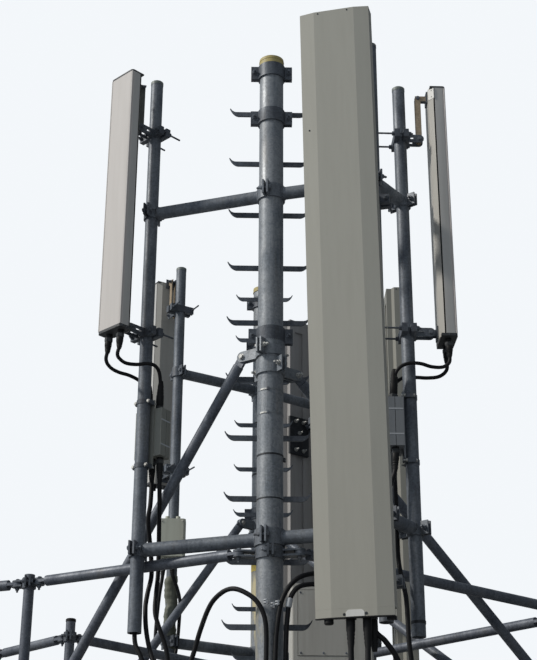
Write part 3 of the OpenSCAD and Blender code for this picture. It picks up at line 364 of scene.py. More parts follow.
def foot_bolts(mesh, place, z, spots, turn=0.0, size=0.0145):
    """Anchor studs with washers and nuts on a plate's upper face."""
    for x, y in spots:
        tip = nut(mesh, at(place, z) + heading(turn) * x + heading(turn + 90) * y, UP, size)
        lathe(mesh, tip, UP, thread(0.016, size * 0.48), 10)


def four_corners(half):
    """The corners of a square of bolts."""
    return [(x, y) for x in (-half, half) for y in (-half, half)]


mesh = bmesh.new()
for mast in (NEAR, FAR):
    foot_bolts(mesh, mast, 0.016, four_corners(0.115), 0, 0.019)
add_piece("mast_anchors", mesh, bright_zinc)
dull_zinc = zinc_material("dull_bolts", (0.2, 0.22, 0.25), (0.09, 0.1, 0.12),
                          (0.12, 0.08, 0.05), 0.3, 0.3, 0.3)
strap_steel = zinc_material("strap_steel", (0.3, 0.32, 0.34), (0.15, 0.165, 0.18),
                            (0.3, 0.2, 0.1), 0.3, 0.15, 0.5)
mesh = bmesh.new()
BAND_HEIGHTS = (1.8146, 1.7053)
for z in BAND_HEIGHTS:
    band(mesh, at(NEAR, z), UP, MAST / 2 + 0.0003, 0.0075, 0.001)
add_piece("mast_bands", mesh, strap_steel)
mesh = bmesh.new()
for z in BAND_HEIGHTS:
    block(mesh, Vector((-0.012, -MAST / 2 - 0.003, z)), -10, (0.009, 0.006, 0.013))
add_piece("band_buckles", mesh, dull_zinc)
mesh = bmesh.new()
for z in BAND_HEIGHTS:
    for step in range(5):
        turn = -106 - 7 * step
        block(mesh, at(polar(NEAR, MAST / 2 + 0.0022, turn), z), turn + 90, (0.0074, 0.0016, 0.0075))
add_piece("band_tails", mesh, bright_zinc)
dark_band = zinc_material("dark_band", (0.05, 0.055, 0.062), (0.018, 0.02, 0.024),
                          (0.07, 0.05, 0.03), 0.2, 0.3, 0.1)
mesh = bmesh.new()
for z, width in ((1.5161, 0.008), (1.3196, 0.006)):
    band(mesh, at(NEAR, z), UP, MAST / 2 + 0.0003, width, 0.0012)
block(mesh, Vector((0.062, -0.012, 1.5)), 78, (0.016, 0.01, 0.018))
for z in (2.545, 2.22):
    band(mesh, at(FAR, z), UP, MAST / 2 + 0.0003, 0.012, 0.0014)
band(mesh, at(polar(polar(NEAR, 0.49, -17), 0.25, 52), 0.815), UP, PIPE / 2 + 0.0003, 0.012, 0.0016)
add_piece("mast_tape", mesh, dark_band)
yellow_paint = skin_material("yellow_paint", (0.62, 0.47, 0.09), (0.3, 0.25, 0.12), 0.4, 0.3)
mesh = bmesh.new()
for z, width in ((1.716, 0.04), (1.65, 0.046)):
    band(mesh, at(FAR, z), UP, MAST / 2 + 0.0002, width, 0.0006, 48)
add_piece("paint_marks", mesh, yellow_paint)


def paint_over(material, colour, low, high, cover, left=None):
    """Lays patches of old paint over a finish between two heights, and left of a plane if given."""
    tree = material.node_tree
    base = tree.nodes["Principled BSDF"].inputs["Base Color"]
    where = tree.nodes.new("ShaderNodeTexCoord")
    parts = tree.nodes.new("ShaderNodeSeparateXYZ")
    tree.links.new(where.outputs["Object"], parts.inputs[0])
    mask = multiply(tree, span(tree, parts.outputs["Z"], low - 0.04, low + 0.04),
                    span(tree, parts.outputs["Z"], high - 0.06, high + 0.02, 1, 0))
    mask = multiply(tree, mask, span(tree, noise_node(tree, (1, 1, 0.22), 22, 6), 0.6 - cover, 0.72 - cover))
    if left is not None:
        mask = multiply(tree, mask, span(tree, parts.outputs["X"], left - 0.02, left + 0.015, 1, 0))
    was = base.links[0].from_socket
    tree.links.new(blend_colours(tree, mask, was, (*colour, 1)), base)


stained_near = zinc_material("near_mast_zinc", *MAST_TONES)
paint_over(stained_near, (0.34, 0.32, 0.26), 0.62, 1.02, 0.1, -0.012)
stained_far = zinc_material("far_mast_zinc", *MAST_TONES)
paint_over(stained_far, (0.52, 0.46, 0.29), 0.6, 1.62, 0.16)
refit("near_mast_tube", "near_mast", stained_near,
      lambda spot: spot - UP * (0.029 if spot.z > 3.4 else 0))
finish(["far_mast"], stained_far)

# Mast caps: moulded mustard plugs pressed into the masts' tops, each with a raised rim.
# The near mast's tube ends a little lower than the CAD's, so its cap comes down with it.
cap_plastic = skin_material("mast_cap", (0.5, 0.41, 0.17), (0.22, 0.195, 0.12), 0.4, 0.25)
refit("mast_plugs", "mast_caps", cap_plastic,
      lambda spot: spot - UP * ((0.022 if spot.z > 3.57 else 0.029) if spot.y < 1 else 0))
mesh = bmesh.new()
for mast, z in ((NEAR, 3.545), (FAR, 3.439)):
    band(mesh, at(mast, z), UP, MAST / 2 + 0.0018, 0.004, 0.0016)
add_piece("cap_rims", mesh, cap_plastic)

# Ladders: a flat bar and eleven upturned rungs on each mast, all hot-dip galvanised.
# The rungs are welded to the bar, and four bolted clamps hold each bar to its mast.
bar_zinc = zinc_material("galvanised_bar", (0.15, 0.165, 0.19), (0.07, 0.08, 0.098),
                         (0.1, 0.08, 0.06), 0.3, 0.2)
finish(["near_ladder", "far_ladder"], bar_zinc)
clamp_zinc = zinc_material("clamp_steel", (0.138, 0.154, 0.178), (0.062, 0.07, 0.086),
                           (0.1, 0.07, 0.05), 0.25, 0.25)


def near_clamp_place(spot):
    """A point of the ladder clamps, with the upper three of the near mast set to their heights."""
    if spot.y > 1 or spot.z < 1.9:
        return spot
    return spot + UP * (0.008 if spot.z > 3.3 else 0.033 if spot.z > 2.9 else -0.007)


refit("ladder_saddles", "ladder_clamps", clamp_zinc, near_clamp_place)


def bolt(mesh, head, end, size=0.0125, spare=0.012):
    """A bolt from its head's face to its nut's face, with a bit of thread past the nut."""
    axis = (end - head).normalized()
    lathe(mesh, head, axis, [(0, size * 0.48), ((end - head).length, size * 0.48)], 12)
    nut(mesh, head, -axis, size, 0.62)
    tip = nut(mesh, end, axis, size)
    lathe(mesh, tip, axis, thread(spare, size * 0.48), 10)


def collar_bolts(mesh, place, z, turn, tube, spare=0.014):
    """The two bolts that close a pair of half collars."""
    reach = (tube + 0.0006 + 0.016 + 0.034) / 2
    for side in (-1, 1):
        middle = at(place, z) + heading(turn + 90) * reach * side
        bolt(mesh, middle + heading(turn) * 0.0142, middle - heading(turn) * 0.0142, 0.0125, spare)


mesh = bmesh.new()
for mast, heights in ((NEAR, (3.483, 3.228, 2.083, 0.48)), (FAR, (3.36, 3.08, 1.975, 0.365))):
    for z in heights:
        collar_bolts(mesh, mast, z, 90, MAST)
add_piece("ladder_clamp_bolts", mesh, dull_zinc)
welds = bmesh.new()


def curve(start, pull, end):
    """Eight points of a bend between two points, drawn towards a third."""
    return [[s * (1 - t) ** 2 + 2 * p * t * (1 - t) + e * t * t for s, p, e in zip(start, pull, end)]
            for t in (k / 7 for k in range(8))]


for name, mast, first, pitch, half, shift, out in (("near", NEAR, 3.3605, 0.2828, 0.194, -0.007, 1),
                                                   ("far", FAR, 3.315, 0.2776, 0.176, 0.008, -1)):
    mesh = bmesh.new()
    right_end = curve((half - 0.042, -0.012), (half - 0.016, -0.008), (half, 0.031)) \
        + curve((half - 0.004, 0.031), (half - 0.012, 0.014), (half - 0.03, 0.012))
    rung_line = right_end + [(-x, z) for x, z in reversed(right_end)]
    for z in (first - pitch * k for k in range(11)):
        join_rows(mesh, [[mesh.verts.new((x + shift, mast[1] + out * y, z + up)) for x, up in rung_line]
                         for y in (0.1652, 0.1755)])
        lathe(welds, Vector((0.023, mast[1] + out * 0.1665, z - 0.0125)), Vector((1, 0, 0)),
              [(-0.046, 0.0015), (-0.042, 0.0032), (-0.004, 0.0036), (0.0, 0.0015)], 8)
    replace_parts(add_piece(name + "_steps", mesh, bar_zinc), name + "_rungs")
add_piece("rung_welds", welds, bar_zinc)

# Arms and links: level galvanised tubes that carry the antenna pipes, in an upper and a
# lower set on each mast. They are welded to half collars, which bolts close round the
# masts and the pipes.
pipe_zinc = zinc_material("weathered_pipe", (0.2, 0.218, 0.245), (0.09, 0.104, 0.128),
                          (0.12, 0.1, 0.07), 0.5, 0.22)
finish(["near_upper_arms", "near_lower_arms", "far_upper_arms", "far_lower_arms", "near_links", "far_links"],
       pipe_zinc)
ARM_LOW, LINK_LOW = 1.153, 1.215
GRIP, BEAD = 0.0083, 0.0034
NEAR_LEFT, NEAR_PANEL = polar(NEAR, 0.606, 160), polar(NEAR, 0.49, -17)
NEAR_RIGHT = polar(NEAR_PANEL, 0.25, 52)
FAR_LEFT, FAR_PANEL = polar(FAR, 0.586, -150), polar(FAR, 0.45, 33)
FAR_RIGHT = polar(FAR_PANEL, 0.393, -50)
finish(["pipe_clamps"], clamp_zinc)


def weld(mesh, place, z, turn, collar):
    """A bead round the joint of a level pipe and a collar, which is given by its radius."""
    out, side, core = heading(turn), heading(turn + 90), at(place, z)
    path = []
    for angle in (2 * pi * k / 44 for k in range(44)):
        across_pipe = PIPE / 2 * cos(angle)
        away = (collar ** 2 - across_pipe ** 2) ** 0.5 + 0.0006
        path.append(core + out * away + side * across_pipe + Vector((0, 0, PIPE / 2 * sin(angle))))
    rings = []
    for k, point in enumerate(path):
        ahead = (path[(k + 1) % 44] - path[k - 1]).normalized()
        u = (point - core - out * collar).normalized()
        v = ahead.cross(u).normalized()
        thick = BEAD * chance.uniform(0.82, 1.18)
        rings.append([mesh.verts.new(point + (u * cos(a) + v * sin(a)) * thick)
                      for a in (2 * pi * j / 7 for j in range(7))])
    join_rows(mesh, rings, True)


mesh = bmesh.new()
welds = bmesh.new()
for mast, high, split, left, panel, right, arm_l, arm_r, link, shared in (
        (NEAR, 2.811, -18.5, NEAR_LEFT, NEAR_PANEL, NEAR_RIGHT, 160, -17, 52, 197.5),
        (FAR, 2.765, 31.5, FAR_LEFT, FAR_PANEL, FAR_RIGHT, -150, 33, -50, 171.5)):
    for z, link_z in ((high, high), (ARM_LOW, LINK_LOW)):
        collar_bolts(mesh, mast, z, split, MAST, 0.018)
        collar_bolts(mesh, left, z, arm_l, PIPE)
        collar_bolts(mesh, right, link_z, link, PIPE)
        for place, tube, level, turn in ((mast, MAST, z, arm_l), (mast, MAST, z, arm_r),
                                         (left, PIPE, z, arm_l + 180), (panel, PIPE, z, arm_r + 180),
                                         (panel, PIPE, link_z, link), (right, PIPE, link_z, link + 180)):
            weld(welds, place, level, turn, tube / 2 + GRIP)
    for z, turn in ((high, shared), (ARM_LOW, arm_r), (LINK_LOW, link)):
        collar_bolts(mesh, panel, z, turn, PIPE)
add_piece("arm_bolts", mesh, dull_zinc)
add_piece("arm_welds", welds, pipe_zinc, 60)

# Antenna pipes: galvanised tubes held by the arms' and links' collars, open at their feet.
# Their upper ends carry thin pressed caps. Two feet are set to their final heights here.
finish(["near_panel_pipe", "far_left_pipe", "far_panel_pipe", "far_right_pipe"], pipe_zinc)
for name, rise in (("near_left", 0.024), ("near_right", -0.016)):
    refit(name + "_tube", name + "_pipe", pipe_zinc,
          lambda spot: spot + UP * (rise if spot.z < 1 else 0))
pipe_cap = zinc_material("pipe_cap", (0.24, 0.265, 0.25), (0.13, 0.145, 0.14), (0.15, 0.12, 0.08), 0.4, 0.2)
mesh = bmesh.new()
for place, top in ((NEAR_LEFT, 3.56), (NEAR_PANEL, 3.56), (NEAR_RIGHT, 3.445),
                   (FAR_LEFT, 3.46), (FAR_PANEL, 3.46), (FAR_RIGHT, 3.46)):
    lathe(mesh, at(place, top - 0.016), UP, [(0, PIPE / 2 + 0.0003), (0, PIPE / 2 + 0.001),
                                             (0.0145, PIPE / 2 + 0.001), (0.0168, PIPE / 2 - 0.001),
                                             (0.0172, 0.004)], 40)
add_piece("pipe_caps", mesh, pipe_cap)

# Slim antennas: a pale glass-fibre radome and a grey tray with a groove between them.
# Dark end caps close them, and each hangs on its pipe by two brackets, with two sockets
# in its foot for the jumpers.
slim_radome = skin_material("slim_radome", (0.6, 0.565, 0.54), (0.35, 0.325, 0.29), 0.14, 0.12, 0.15)
radome_flank = skin_material("radome_flank", (0.56, 0.55, 0.53), (0.32, 0.305, 0.27), 0.2, 0.2, 0.15)
tray_skin = skin_material("antenna_tray", (0.46, 0.445, 0.41), (0.26, 0.245, 0.215), 0.2, 0.2)
antenna_cap = skin_material("antenna_cap", (0.055, 0.058, 0.062), (0.1, 0.095, 0.085), 0.25, 0.2)
black_rubber = skin_material("black_rubber", (0.014, 0.014, 0.015), (0.05, 0.048, 0.044), 0.25, 0.15, 0.2)
# Each antenna: its pipe, the way it faces, its back's distance from the pipe, the height of
# its foot, its tilt, its length and its shift to the side.
AIMS = {"near_left": (NEAR_LEFT, -45.5, 0.148, 2.13, 0.0, 1.372, 0.0),
        "near_right": (NEAR_RIGHT, 91, 0.138, 2.094, 0.0, 1.324, 0.0),
        "far_left": (FAR_LEFT, -150, 0.148, 2.104, 0.0, 1.318, 0.0),
        "near_panel": (NEAR_PANEL, -15.54, 0.187, 0.7376, 4.487, 2.69, -0.0706),
        "far_panel": (FAR_PANEL, -145, 0.148, 0.734, 0.0, 2.66, 0.0),
        "far_right": (FAR_RIGHT, 90, 0.138, 0.734, 0.0, 2.66, 0.0)}


def on_antenna(name, x, y, z):
    """A point given in an antenna's own axes: across, back to front, and up."""
    pipe, turn, back, low, tilt, _, shift = AIMS[name]
    spot = Matrix.Rotation(radians(tilt), 4, "X") @ Vector((x, y, z))
    spot += Vector((shift, -back, 0))
    return at(pipe, low) + Matrix.Rotation(radians(turn), 4, "Z") @ spot


def on_antenna_axis(name, x, y, z):
    """A direction given in an antenna's own axes."""
    return on_antenna(name, x, y, z) - on_antenna(name, 0, 0, 0)


def prism(mesh, name, outline, low, high):
    """A solid with an outline's shape between two heights of an antenna; returns its sides."""
    return join_rows(mesh, [[mesh.verts.new(on_antenna(name, x, y, z)) for x, y in outline]
                            for z in (low, high)])


def four_sides(half, front, back):
    """The outline of a bar as wide on both sides of the middle."""
    return [(-half, front), (-half, back), (half, back), (half, front)]


SLIM_HALF, SLIM_DEPTH, CORNER = 0.0775, 0.078, 0.014
turns = [radians(-15 * k) for k in range(7)]
corner = [(SLIM_HALF - CORNER + CORNER * cos(a), CORNER - SLIM_DEPTH + CORNER * sin(a)) for a in turns]
half_shell = [(SLIM_HALF, -0.0275)] + corner
slim_shell = half_shell + [(-x, y) for x, y in reversed(half_shell)]
SLIM_SCREW = [(-0.002, 0.003), (0.0, 0.0032), (0.0013, 0.0026), (0.0016, 0.001)]
slim_tray = [(-SLIM_HALF, -0.0205), (0.026 - SLIM_HALF, 0), (SLIM_HALF - 0.026, 0), (SLIM_HALF, -0.0205)]
cap_line = [(x * 1.02, -0.0055 if y > -0.03 else y * 1.02) for x, y in slim_shell]
grooves, caps, sockets, screws = bmesh.new(), bmesh.new(), bmesh.new(), bmesh.new()
for name in ("near_left", "near_right", "far_left"):
    long = AIMS[name][5]
    mesh = bmesh.new()
    sides = prism(mesh, name, slim_shell, 0.012, long - 0.006)
    sides[1].material_index = sides[-1].material_index = 1
    for face in prism(mesh, name, slim_tray, 0.002, long - 0.004):
        face.material_index = 2
    for side in (-1, 1):
        lathe(mesh, on_antenna(name, side * (SLIM_HALF - 0.0034), 0.0034 - SLIM_DEPTH, 0.014), UP,
              [(0, 0.004), (long - 0.022, 0.004)], 12)
    shell = add_piece(name + "_radome", mesh, [slim_radome, radome_flank, tray_skin])
    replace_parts(shell, name + "_antenna")
    prism(grooves, name, four_sides(0.0755, -0.0285, -0.0195), 0.004, long - 0.007)
    prism(caps, name, cap_line, 0, 0.013)
    prism(caps, name, cap_line, long - 0.007, long)
    for side in (-1, 1):
        lathe(sockets, on_antenna(name, side * 0.04, -SLIM_DEPTH / 2, 0.002), -UP,
              [(0, 0.0155), (0.006, 0.0155), (0.0065, 0.012), (0.0315, 0.012)], 20)
        for y in (-0.066, -0.04):
            lathe(screws, on_antenna(name, side * 0.0788, y, 0.0065), on_antenna_axis(name, side, 0, 0),
                  SLIM_SCREW, 12)
    for x in (-0.05, 0, 0.05):
        lathe(screws, on_antenna(name, x, -0.0794, 0.0065), on_antenna_axis(name, 0, -1, 0), SLIM_SCREW, 12)
add_piece("radome_grooves", grooves, black_rubber)
add_piece("slim_antenna_caps", caps, antenna_cap)
add_piece("slim_antenna_sockets", sockets, black_rubber)
add_piece("slim_antenna_screws", screws, dull_zinc)
pale_plastic = skin_material("pale_plastic", (0.8, 0.79, 0.76), (0.45, 0.43, 0.38), 0.15, 0.15)
mesh = bmesh.new()
block(mesh, on_antenna("near_right", -0.0665, -0.0125, 1.284), 91 + 40, (0.036, 0.0045, 0.058))
add_piece("end_clip", mesh, pale_plastic)
mesh = bmesh.new()
for z in (1.267, 1.302):
    lathe(mesh, on_antenna("near_right", -0.0695, -0.015, z), on_antenna_axis("near_right", -0.64, 0.77, 0),
          [(-0.001, 0.0035), (0.0022, 0.0035), (0.003, 0.001)], 12)
add_piece("end_clip_screws", mesh, dark_band)

# Large panels: moulded radomes with a grey tray up the back, on tall pipes of their own.
# The near one has a skirt round its base, and a pale tab, a vent and three sockets there.
panel_radome = skin_material("panel_radome", (0.435, 0.422, 0.372), (0.32, 0.305, 0.265), 0.16, 0.1, 0.15)
panel_back = skin_material("panel_back", (0.36, 0.35, 0.345), (0.22, 0.2, 0.18), 0.35, 0.3)
PANEL_HALF, PANEL_FRONT, BEVEL = 0.156, -0.125, 0.012
front_line = [(-PANEL_HALF, PANEL_FRONT + BEVEL), (-0.09, PANEL_FRONT), (0.09, PANEL_FRONT),
              (PANEL_HALF, PANEL_FRONT + BEVEL)]
panel_line = [(-0.132, 0), (-0.132, -0.03), (-PANEL_HALF, -0.046)] + front_line + [
    (PANEL_HALF, -0.046), (0.132, -0.03), (0.132, 0), (0.09, 0), (0.09, -0.012), (0.03, -0.012), (0.03, 0),
    (-0.03, 0), (-0.03, -0.012), (-0.09, -0.012), (-0.09, 0)]
skirt_line = [(-PANEL_HALF, -0.103)] + front_line + [(PANEL_HALF, -0.103)]
PANEL_LONG = AIMS["near_panel"][5]
mesh = bmesh.new()
for k, face in enumerate(prism(mesh, "near_panel", panel_line, 0.034, PANEL_LONG)):
    face.material_index = 0 if 3 <= k <= 7 else 1
prism(mesh, "near_panel", skirt_line, 0, 0.0338)
shell = add_piece("near_panel_radome", mesh, [panel_radome, panel_back], 5)
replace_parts(shell, "near_panel_antenna")
mesh = bmesh.new()
prism(mesh, "near_panel", [(x * 1.003, y - 0.0005) for x, y in skirt_line], -0.0035, 0.0015)
for x in (0, 0.066, 0.022):
    spot = on_antenna("near_panel", x - 0.046, -0.062 if x != 0.022 else -0.024, 0.036)
    lathe(mesh, spot, -UP, [(0, 0.017), (0.008, 0.017), (0.009, 0.013), (0.032, 0.013)], 20)
lathe(mesh, on_antenna("near_panel", -0.1056, -0.1, 0.006), on_antenna_axis("near_panel", 0, 0, -1),
      [(-0.004, 0.014), (0.004, 0.0165), (0.01, 0.0185), (0.024, 0.0185), (0.028, 0.015),
       (0.029, 0.002)], 24)
block(mesh, on_antenna("near_panel", 0.14, -0.09, -0.006), -15.54, (0.036, 0.03, 0.016), 4.5)
add_piece("panel_foot", mesh, black_rubber)
mesh = bmesh.new()
tab = [(-0.0326, 0.002), (0.0399, 0.002), (0.0399, 0.019), (0.034, 0.0255), (0.028, 0.028), (-0.021, 0.028),
       (-0.027, 0.0255), (-0.0326, 0.019)]
join_rows(mesh, [[mesh.verts.new(on_antenna("near_panel", x, y, z)) for x, z in tab]
                 for y in (-0.124, -0.1275)])
add_piece("panel_tab", mesh, pale_plastic)
mesh = bmesh.new()
for name in ("near_panel", "far_panel", "far_right"):
    tall = AIMS[name][5]
    dots = [(-0.0395, -0.125, 0.011), (0.047, -0.125, 0.012)] if name == "near_panel" else []
    dots += [(-0.125, -0.1195, 2.107), (-0.072, -0.125, tall - 0.01), (0.06, -0.125, tall - 0.01)]
    for x, y, z in dots:
        size = 0.0058 if z < 0.1 else 0.0038
        lathe(mesh, on_antenna(name, x, y, z), on_antenna_axis(name, 0, -1, 0),
              [(-0.003, size), (0.0, size), (0.0016, size * 0.8), (0.002, 0.001)], 12)
    for side in (-1, 1):
        for y in (-0.1, -0.06):
            spot = on_antenna(name, side * PANEL_HALF, y, tall - 0.012)
            out = on_antenna_axis(name, side, 0, 0)
            lathe(mesh, spot, out, [(-0.003, 0.0042), (0.0, 0.0045), (0.0016, 0.0037), (0.002, 0.001)], 12)
add_piece("panel_screws", mesh, dark_band)
finish(["far_panel_antenna"], panel_back)
# The far right panel's front wears a darker copy of the panel radome: painted shadow, standing in for the
# shade that falls on it.
far_radome = skin_material("far_radome", (0.27, 0.265, 0.235), (0.2, 0.19, 0.165), 0.16, 0.15)
shell = refit("far_right_radome", "far_right_antenna", [far_radome, panel_back],
              lambda spot: spot - heading(0) * 0.052)
far_right_back = heading(AIMS["far_right"][1] + 90)
for face in shell.data.polygons:
    face.material_index = int(face.normal.dot(far_right_back) > 0.5)

# Brackets: dark steel jaws and slotted arms on two long rods each, with hinge pins and, on
# the slim antennas, tan or olive tilt links. Nuts on the rods clamp them to the pipes.
# Each piece is the CAD's own bracket, set to the antenna's final turn and distance.
tan_plate = zinc_material("tan_plate", (0.44, 0.35, 0.25), (0.3, 0.23, 0.155),
                          (0.12, 0.09, 0.06), 0.35, 0.25, 0.1)
olive_plate = zinc_material("olive_plate", (0.13, 0.135, 0.12), (0.07, 0.075, 0.07),
                            (0.1, 0.08, 0.05), 0.3, 0.25, 0.1)
finish(["far_panel_brackets"], clamp_zinc)
# Each bracket set: its CAD turn, the lower bracket's heights in the CAD and here, the same
# of the upper one, how far each arm's end is drawn in, and whether the upper one is hinged.
BRACKETS = {"near_left": (-50, (2.176, 2.176), (3.248, 3.248), (0.0, 0.012), True),
            "near_right": (100, (2.16, 2.134), (3.172, 3.154), (0.01, 0.022), True),
            "far_left": (-150, (2.262, 2.15), (3.178, 3.178), (0.0, 0.012), True),
            "near_panel": (-25, (0.934, 0.934), (2.698, 2.698), (0.0223, -0.0274), False),
            "far_right": (90, (0.934, 0.934), (2.664, 2.664), (0.052, 0.052), False)}
CAD_LINK, LINK_LONG = 0.21, 0.233


def bracket_mover(name):
    """The move that takes a CAD bracket's point to its final place."""
    was, lower, upper, drawn, hinged = BRACKETS[name]
    pipe, turn, reach = AIMS[name][:3]

    def move(spot):
        away = spot - at(pipe, 0)
        out, side = away.dot(heading(was - 90)), away.dot(heading(was))
        high = spot.z > (lower[0] + upper[0]) / 2
        if hinged and out > 0.1405:
            out += reach - 0.148
        elif out > 0.06:
            out -= drawn[int(high)]
        rise = upper[1] - upper[0] if high else lower[1] - lower[0]
        if hinged and spot.z > upper[0] + 0.1:
            rise += LINK_LONG - CAD_LINK
        return at(pipe, spot.z + rise) + heading(turn - 90) * out + heading(turn) * side
    return move


rods, pins = bmesh.new(), bmesh.new()
for name in ("near_left", "near_right", "far_left", "near_panel", "far_right", "far_panel"):
    pipe, turn, reach, low, tilt = AIMS[name][:5]
    out, side = heading(turn - 90), heading(turn)
    if name == "far_panel":
        heights, drawn, hinged = (0.934, 2.664), (0.0, 0.0), False
    else:
        was, lower, upper, drawn, hinged = BRACKETS[name]
        heights = (lower[1], upper[1])
        link = olive_plate if name == "near_left" else tan_plate
        piece = refit(name + "_clamps", name + "_brackets", [clamp_zinc, link],
                      bracket_mover(name))
        if hinged:
            for face in piece.data.polygons:
                spot = face.center - at(pipe, upper[1])
                if 0.0112 < abs(spot.dot(side)) < 0.0169 and spot.z > -0.014 \
                        and reach - 0.064 < spot.dot(out) < reach - 0.008:
                    face.material_index = 1
    for k, level in enumerate(heights):
        hinge = hinged and k == 1
        back = reach + (level - low + (LINK_LONG if hinge else 0)) * tan(radians(tilt)) - 0.0003
        if name == "far_right":
            back = 0.138
        pin = back - (0.046 if hinge else 0.034)
        core = at(pipe, level)
        for edge in (-0.062, 0.062):
            tail = 0.12 if edge < 0 else 0.108
            lathe(rods, core + side * edge - out * tail, out, thread(tail + 0.055, 0.0048, 0.0032), 10)
            for face, way in ((0.0343, 1), (-0.0343, -1)):
                nut(rods, core + side * edge + out * face, out * way, 0.012)
        for z in ((0.0, LINK_LONG) if hinge else (0.0,)):
            wide = 0.0225 if z == 0 else 0.0168
            middle = core + out * pin + Vector((0, 0, z))
            bolt(pins, middle - side * wide, middle + side * wide, 0.0105, 0.008)
add_piece("bracket_rods", rods, clamp_zinc)
add_piece("bracket_pins", pins, dull_zinc)
plate_mesh, far_bolts = bmesh.new(), bmesh.new()
plate_turn = AIMS["far_panel"][1]
plate_core = on_antenna("far_panel", 0.075, 0.012, 1.855)
block(plate_mesh, plate_core, plate_turn, (0.15, 0.02, 0.25))
plate_front = heading(plate_turn + 90)
for x, z in ((-0.03, 0.095), (0.03, 0.095), (-0.03, -0.095), (0.03, -0.095), (0.0, 0.02)):
    spot = plate_core + heading(plate_turn) * x + plate_front * 0.01 + Vector((0, 0, z))
    lathe(far_bolts, nut(far_bolts, spot, plate_front, 0.013), plate_front, thread(0.02, 0.006), 10)
add_piece("far_panel_plate", plate_mesh, dark_band)
add_piece("far_panel_bolts", far_bolts, bright_zinc)

# Amplifiers: two-part powder-coated cases on back plates, banded to the antenna pipes.
# The near ones have two cooling straps round the case, two sockets on top and three below.
amp_paint = skin_material("amplifier_case", (0.25, 0.265, 0.285), (0.13, 0.13, 0.125), 0.3, 0.3)
olive_case = skin_material("olive_case", (0.27, 0.275, 0.25), (0.15, 0.145, 0.125), 0.3, 0.3)
far_paint = skin_material("far_amplifier_case", (0.54, 0.55, 0.47), (0.3, 0.28, 0.22), 0.35, 0.3)
finish(["far_amplifiers"], far_paint)
pale_strap = skin_material("pale_strap", (0.5, 0.52, 0.55), (0.3, 0.3, 0.3), 0.2, 0.1)
AMP_HALF, AMP_BACK, AMP_SEAM, AMP_FRONT, AMP_HIGH = 0.074, -0.0385, -0.0765, -0.1145, 0.226
AMP_GLAND = [(0, 0.0165), (0.006, 0.0165), (0.0065, 0.013), (0.021, 0.013)]
AMP_SCREW = [(-0.001, 0.0042), (0.0025, 0.0042), (0.0035, 0.003), (0.0036, 0.001)]


def on_case(pipe, low, turn, x, y, z):
    """A point of an amplifier: across, back to front, and up from its foot."""
    return at(pipe, low + z) + heading(turn) * x + heading(turn + 90) * y


def case_part(mesh, place, outline, low, high):
    """A solid with an outline's shape between two heights of an amplifier."""
    join_rows(mesh, [[mesh.verts.new(on_case(*place, x, y, z)) for x, y in outline] for z in (low, high)])


straps, cores, screws, glands, bands = (bmesh.new() for _ in range(5))
for name, pipe, low, turn, paint in (("near_left", NEAR_LEFT, 1.592, 145, olive_case),
                                     ("near_right", NEAR_RIGHT, 1.572, -90, amp_paint)):
    place, high = (pipe, low, turn), AMP_HIGH
    mesh = bmesh.new()
    case_part(mesh, place, four_sides(AMP_HALF, AMP_BACK, AMP_SEAM + 0.002), 0, high)
    case_part(mesh, place, [(-AMP_HALF, AMP_SEAM - 0.0005), (-AMP_HALF, -0.105), (-0.064, AMP_FRONT),
                            (0.064, AMP_FRONT), (AMP_HALF, -0.105), (AMP_HALF, AMP_SEAM - 0.0005)], 0, high)
    case_part(mesh, place, four_sides(0.036, -0.0306, AMP_BACK), -0.045, high + 0.04)
    case = add_piece(name + "_case", mesh, paint)
    if name == "near_left":
        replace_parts(case, "near_amplifiers")
    case_part(cores, place, four_sides(0.071, -0.073, -0.079), 0.004, high - 0.004)
    for z in (0.053, 0.17):
        case_part(straps, place, [(-0.0748, -0.0395), (-0.0748, -0.1054), (-0.0645, -0.1153),
                                  (0.0645, -0.1153), (0.0748, -0.1054), (0.0748, -0.0395)],
                  z - 0.0032, z + 0.0032)
    for x in (-0.03, 0.03):
        lathe(glands, on_case(*place, x, AMP_SEAM, high - 0.001), UP, AMP_GLAND, 20)
    for x in (-0.044, 0.0, 0.044):
        lathe(glands, on_case(*place, x, AMP_SEAM, 0.001), -UP, AMP_GLAND, 20)
    for x in (-0.058, 0.058):
        for z in (0.014, high - 0.014):
            lathe(screws, on_case(*place, x, AMP_FRONT, z), heading(turn - 90), AMP_SCREW, 12)
    for z in (-0.055, high + 0.022):
        core = on_case(*place, 0, 0, z)
        band(bands, core, UP, PIPE / 2 + 0.0004, 0.02, 0.0022)
        for side in (-1, 1):
            ear, back = core + heading(turn) * side * 0.036, heading(turn + 90)
            block(bands, ear - back * 0.006, turn, (0.012, 0.036, 0.022))
            bolt(screws, ear + back * 0.0125, ear - back * 0.0245, 0.0085, 0.01)
for pipe, low, turn, high in ((FAR_LEFT, 1.612, 0, 0.218), (FAR_RIGHT, 1.612, 180, 0.218)):
    for z in (0.04, high - 0.04):
        band(bands, at(pipe, low + z), UP, PIPE / 2 + 0.0004, 0.016, 0.0016)
    for x in (-0.058, 0.058):
        for z in (0.016, high - 0.016):
            lathe(screws, on_case(pipe, low, turn, x, AMP_FRONT, z), heading(turn - 90), AMP_SCREW, 12)
add_piece("amplifier_straps", straps, pale_strap)
add_piece("amplifier_seams", cores, black_rubber)
add_piece("amplifier_glands", glands, black_rubber)
add_piece("amplifier_bands", bands, clamp_zinc)
add_piece("amplifier_screws", screws, bright_zinc)
wrap_cloth = skin_material("pipe_wrap", (0.12, 0.13, 0.1), (0.3, 0.3, 0.26), 0.5, 0.5)
mesh = bmesh.new()
rows = []
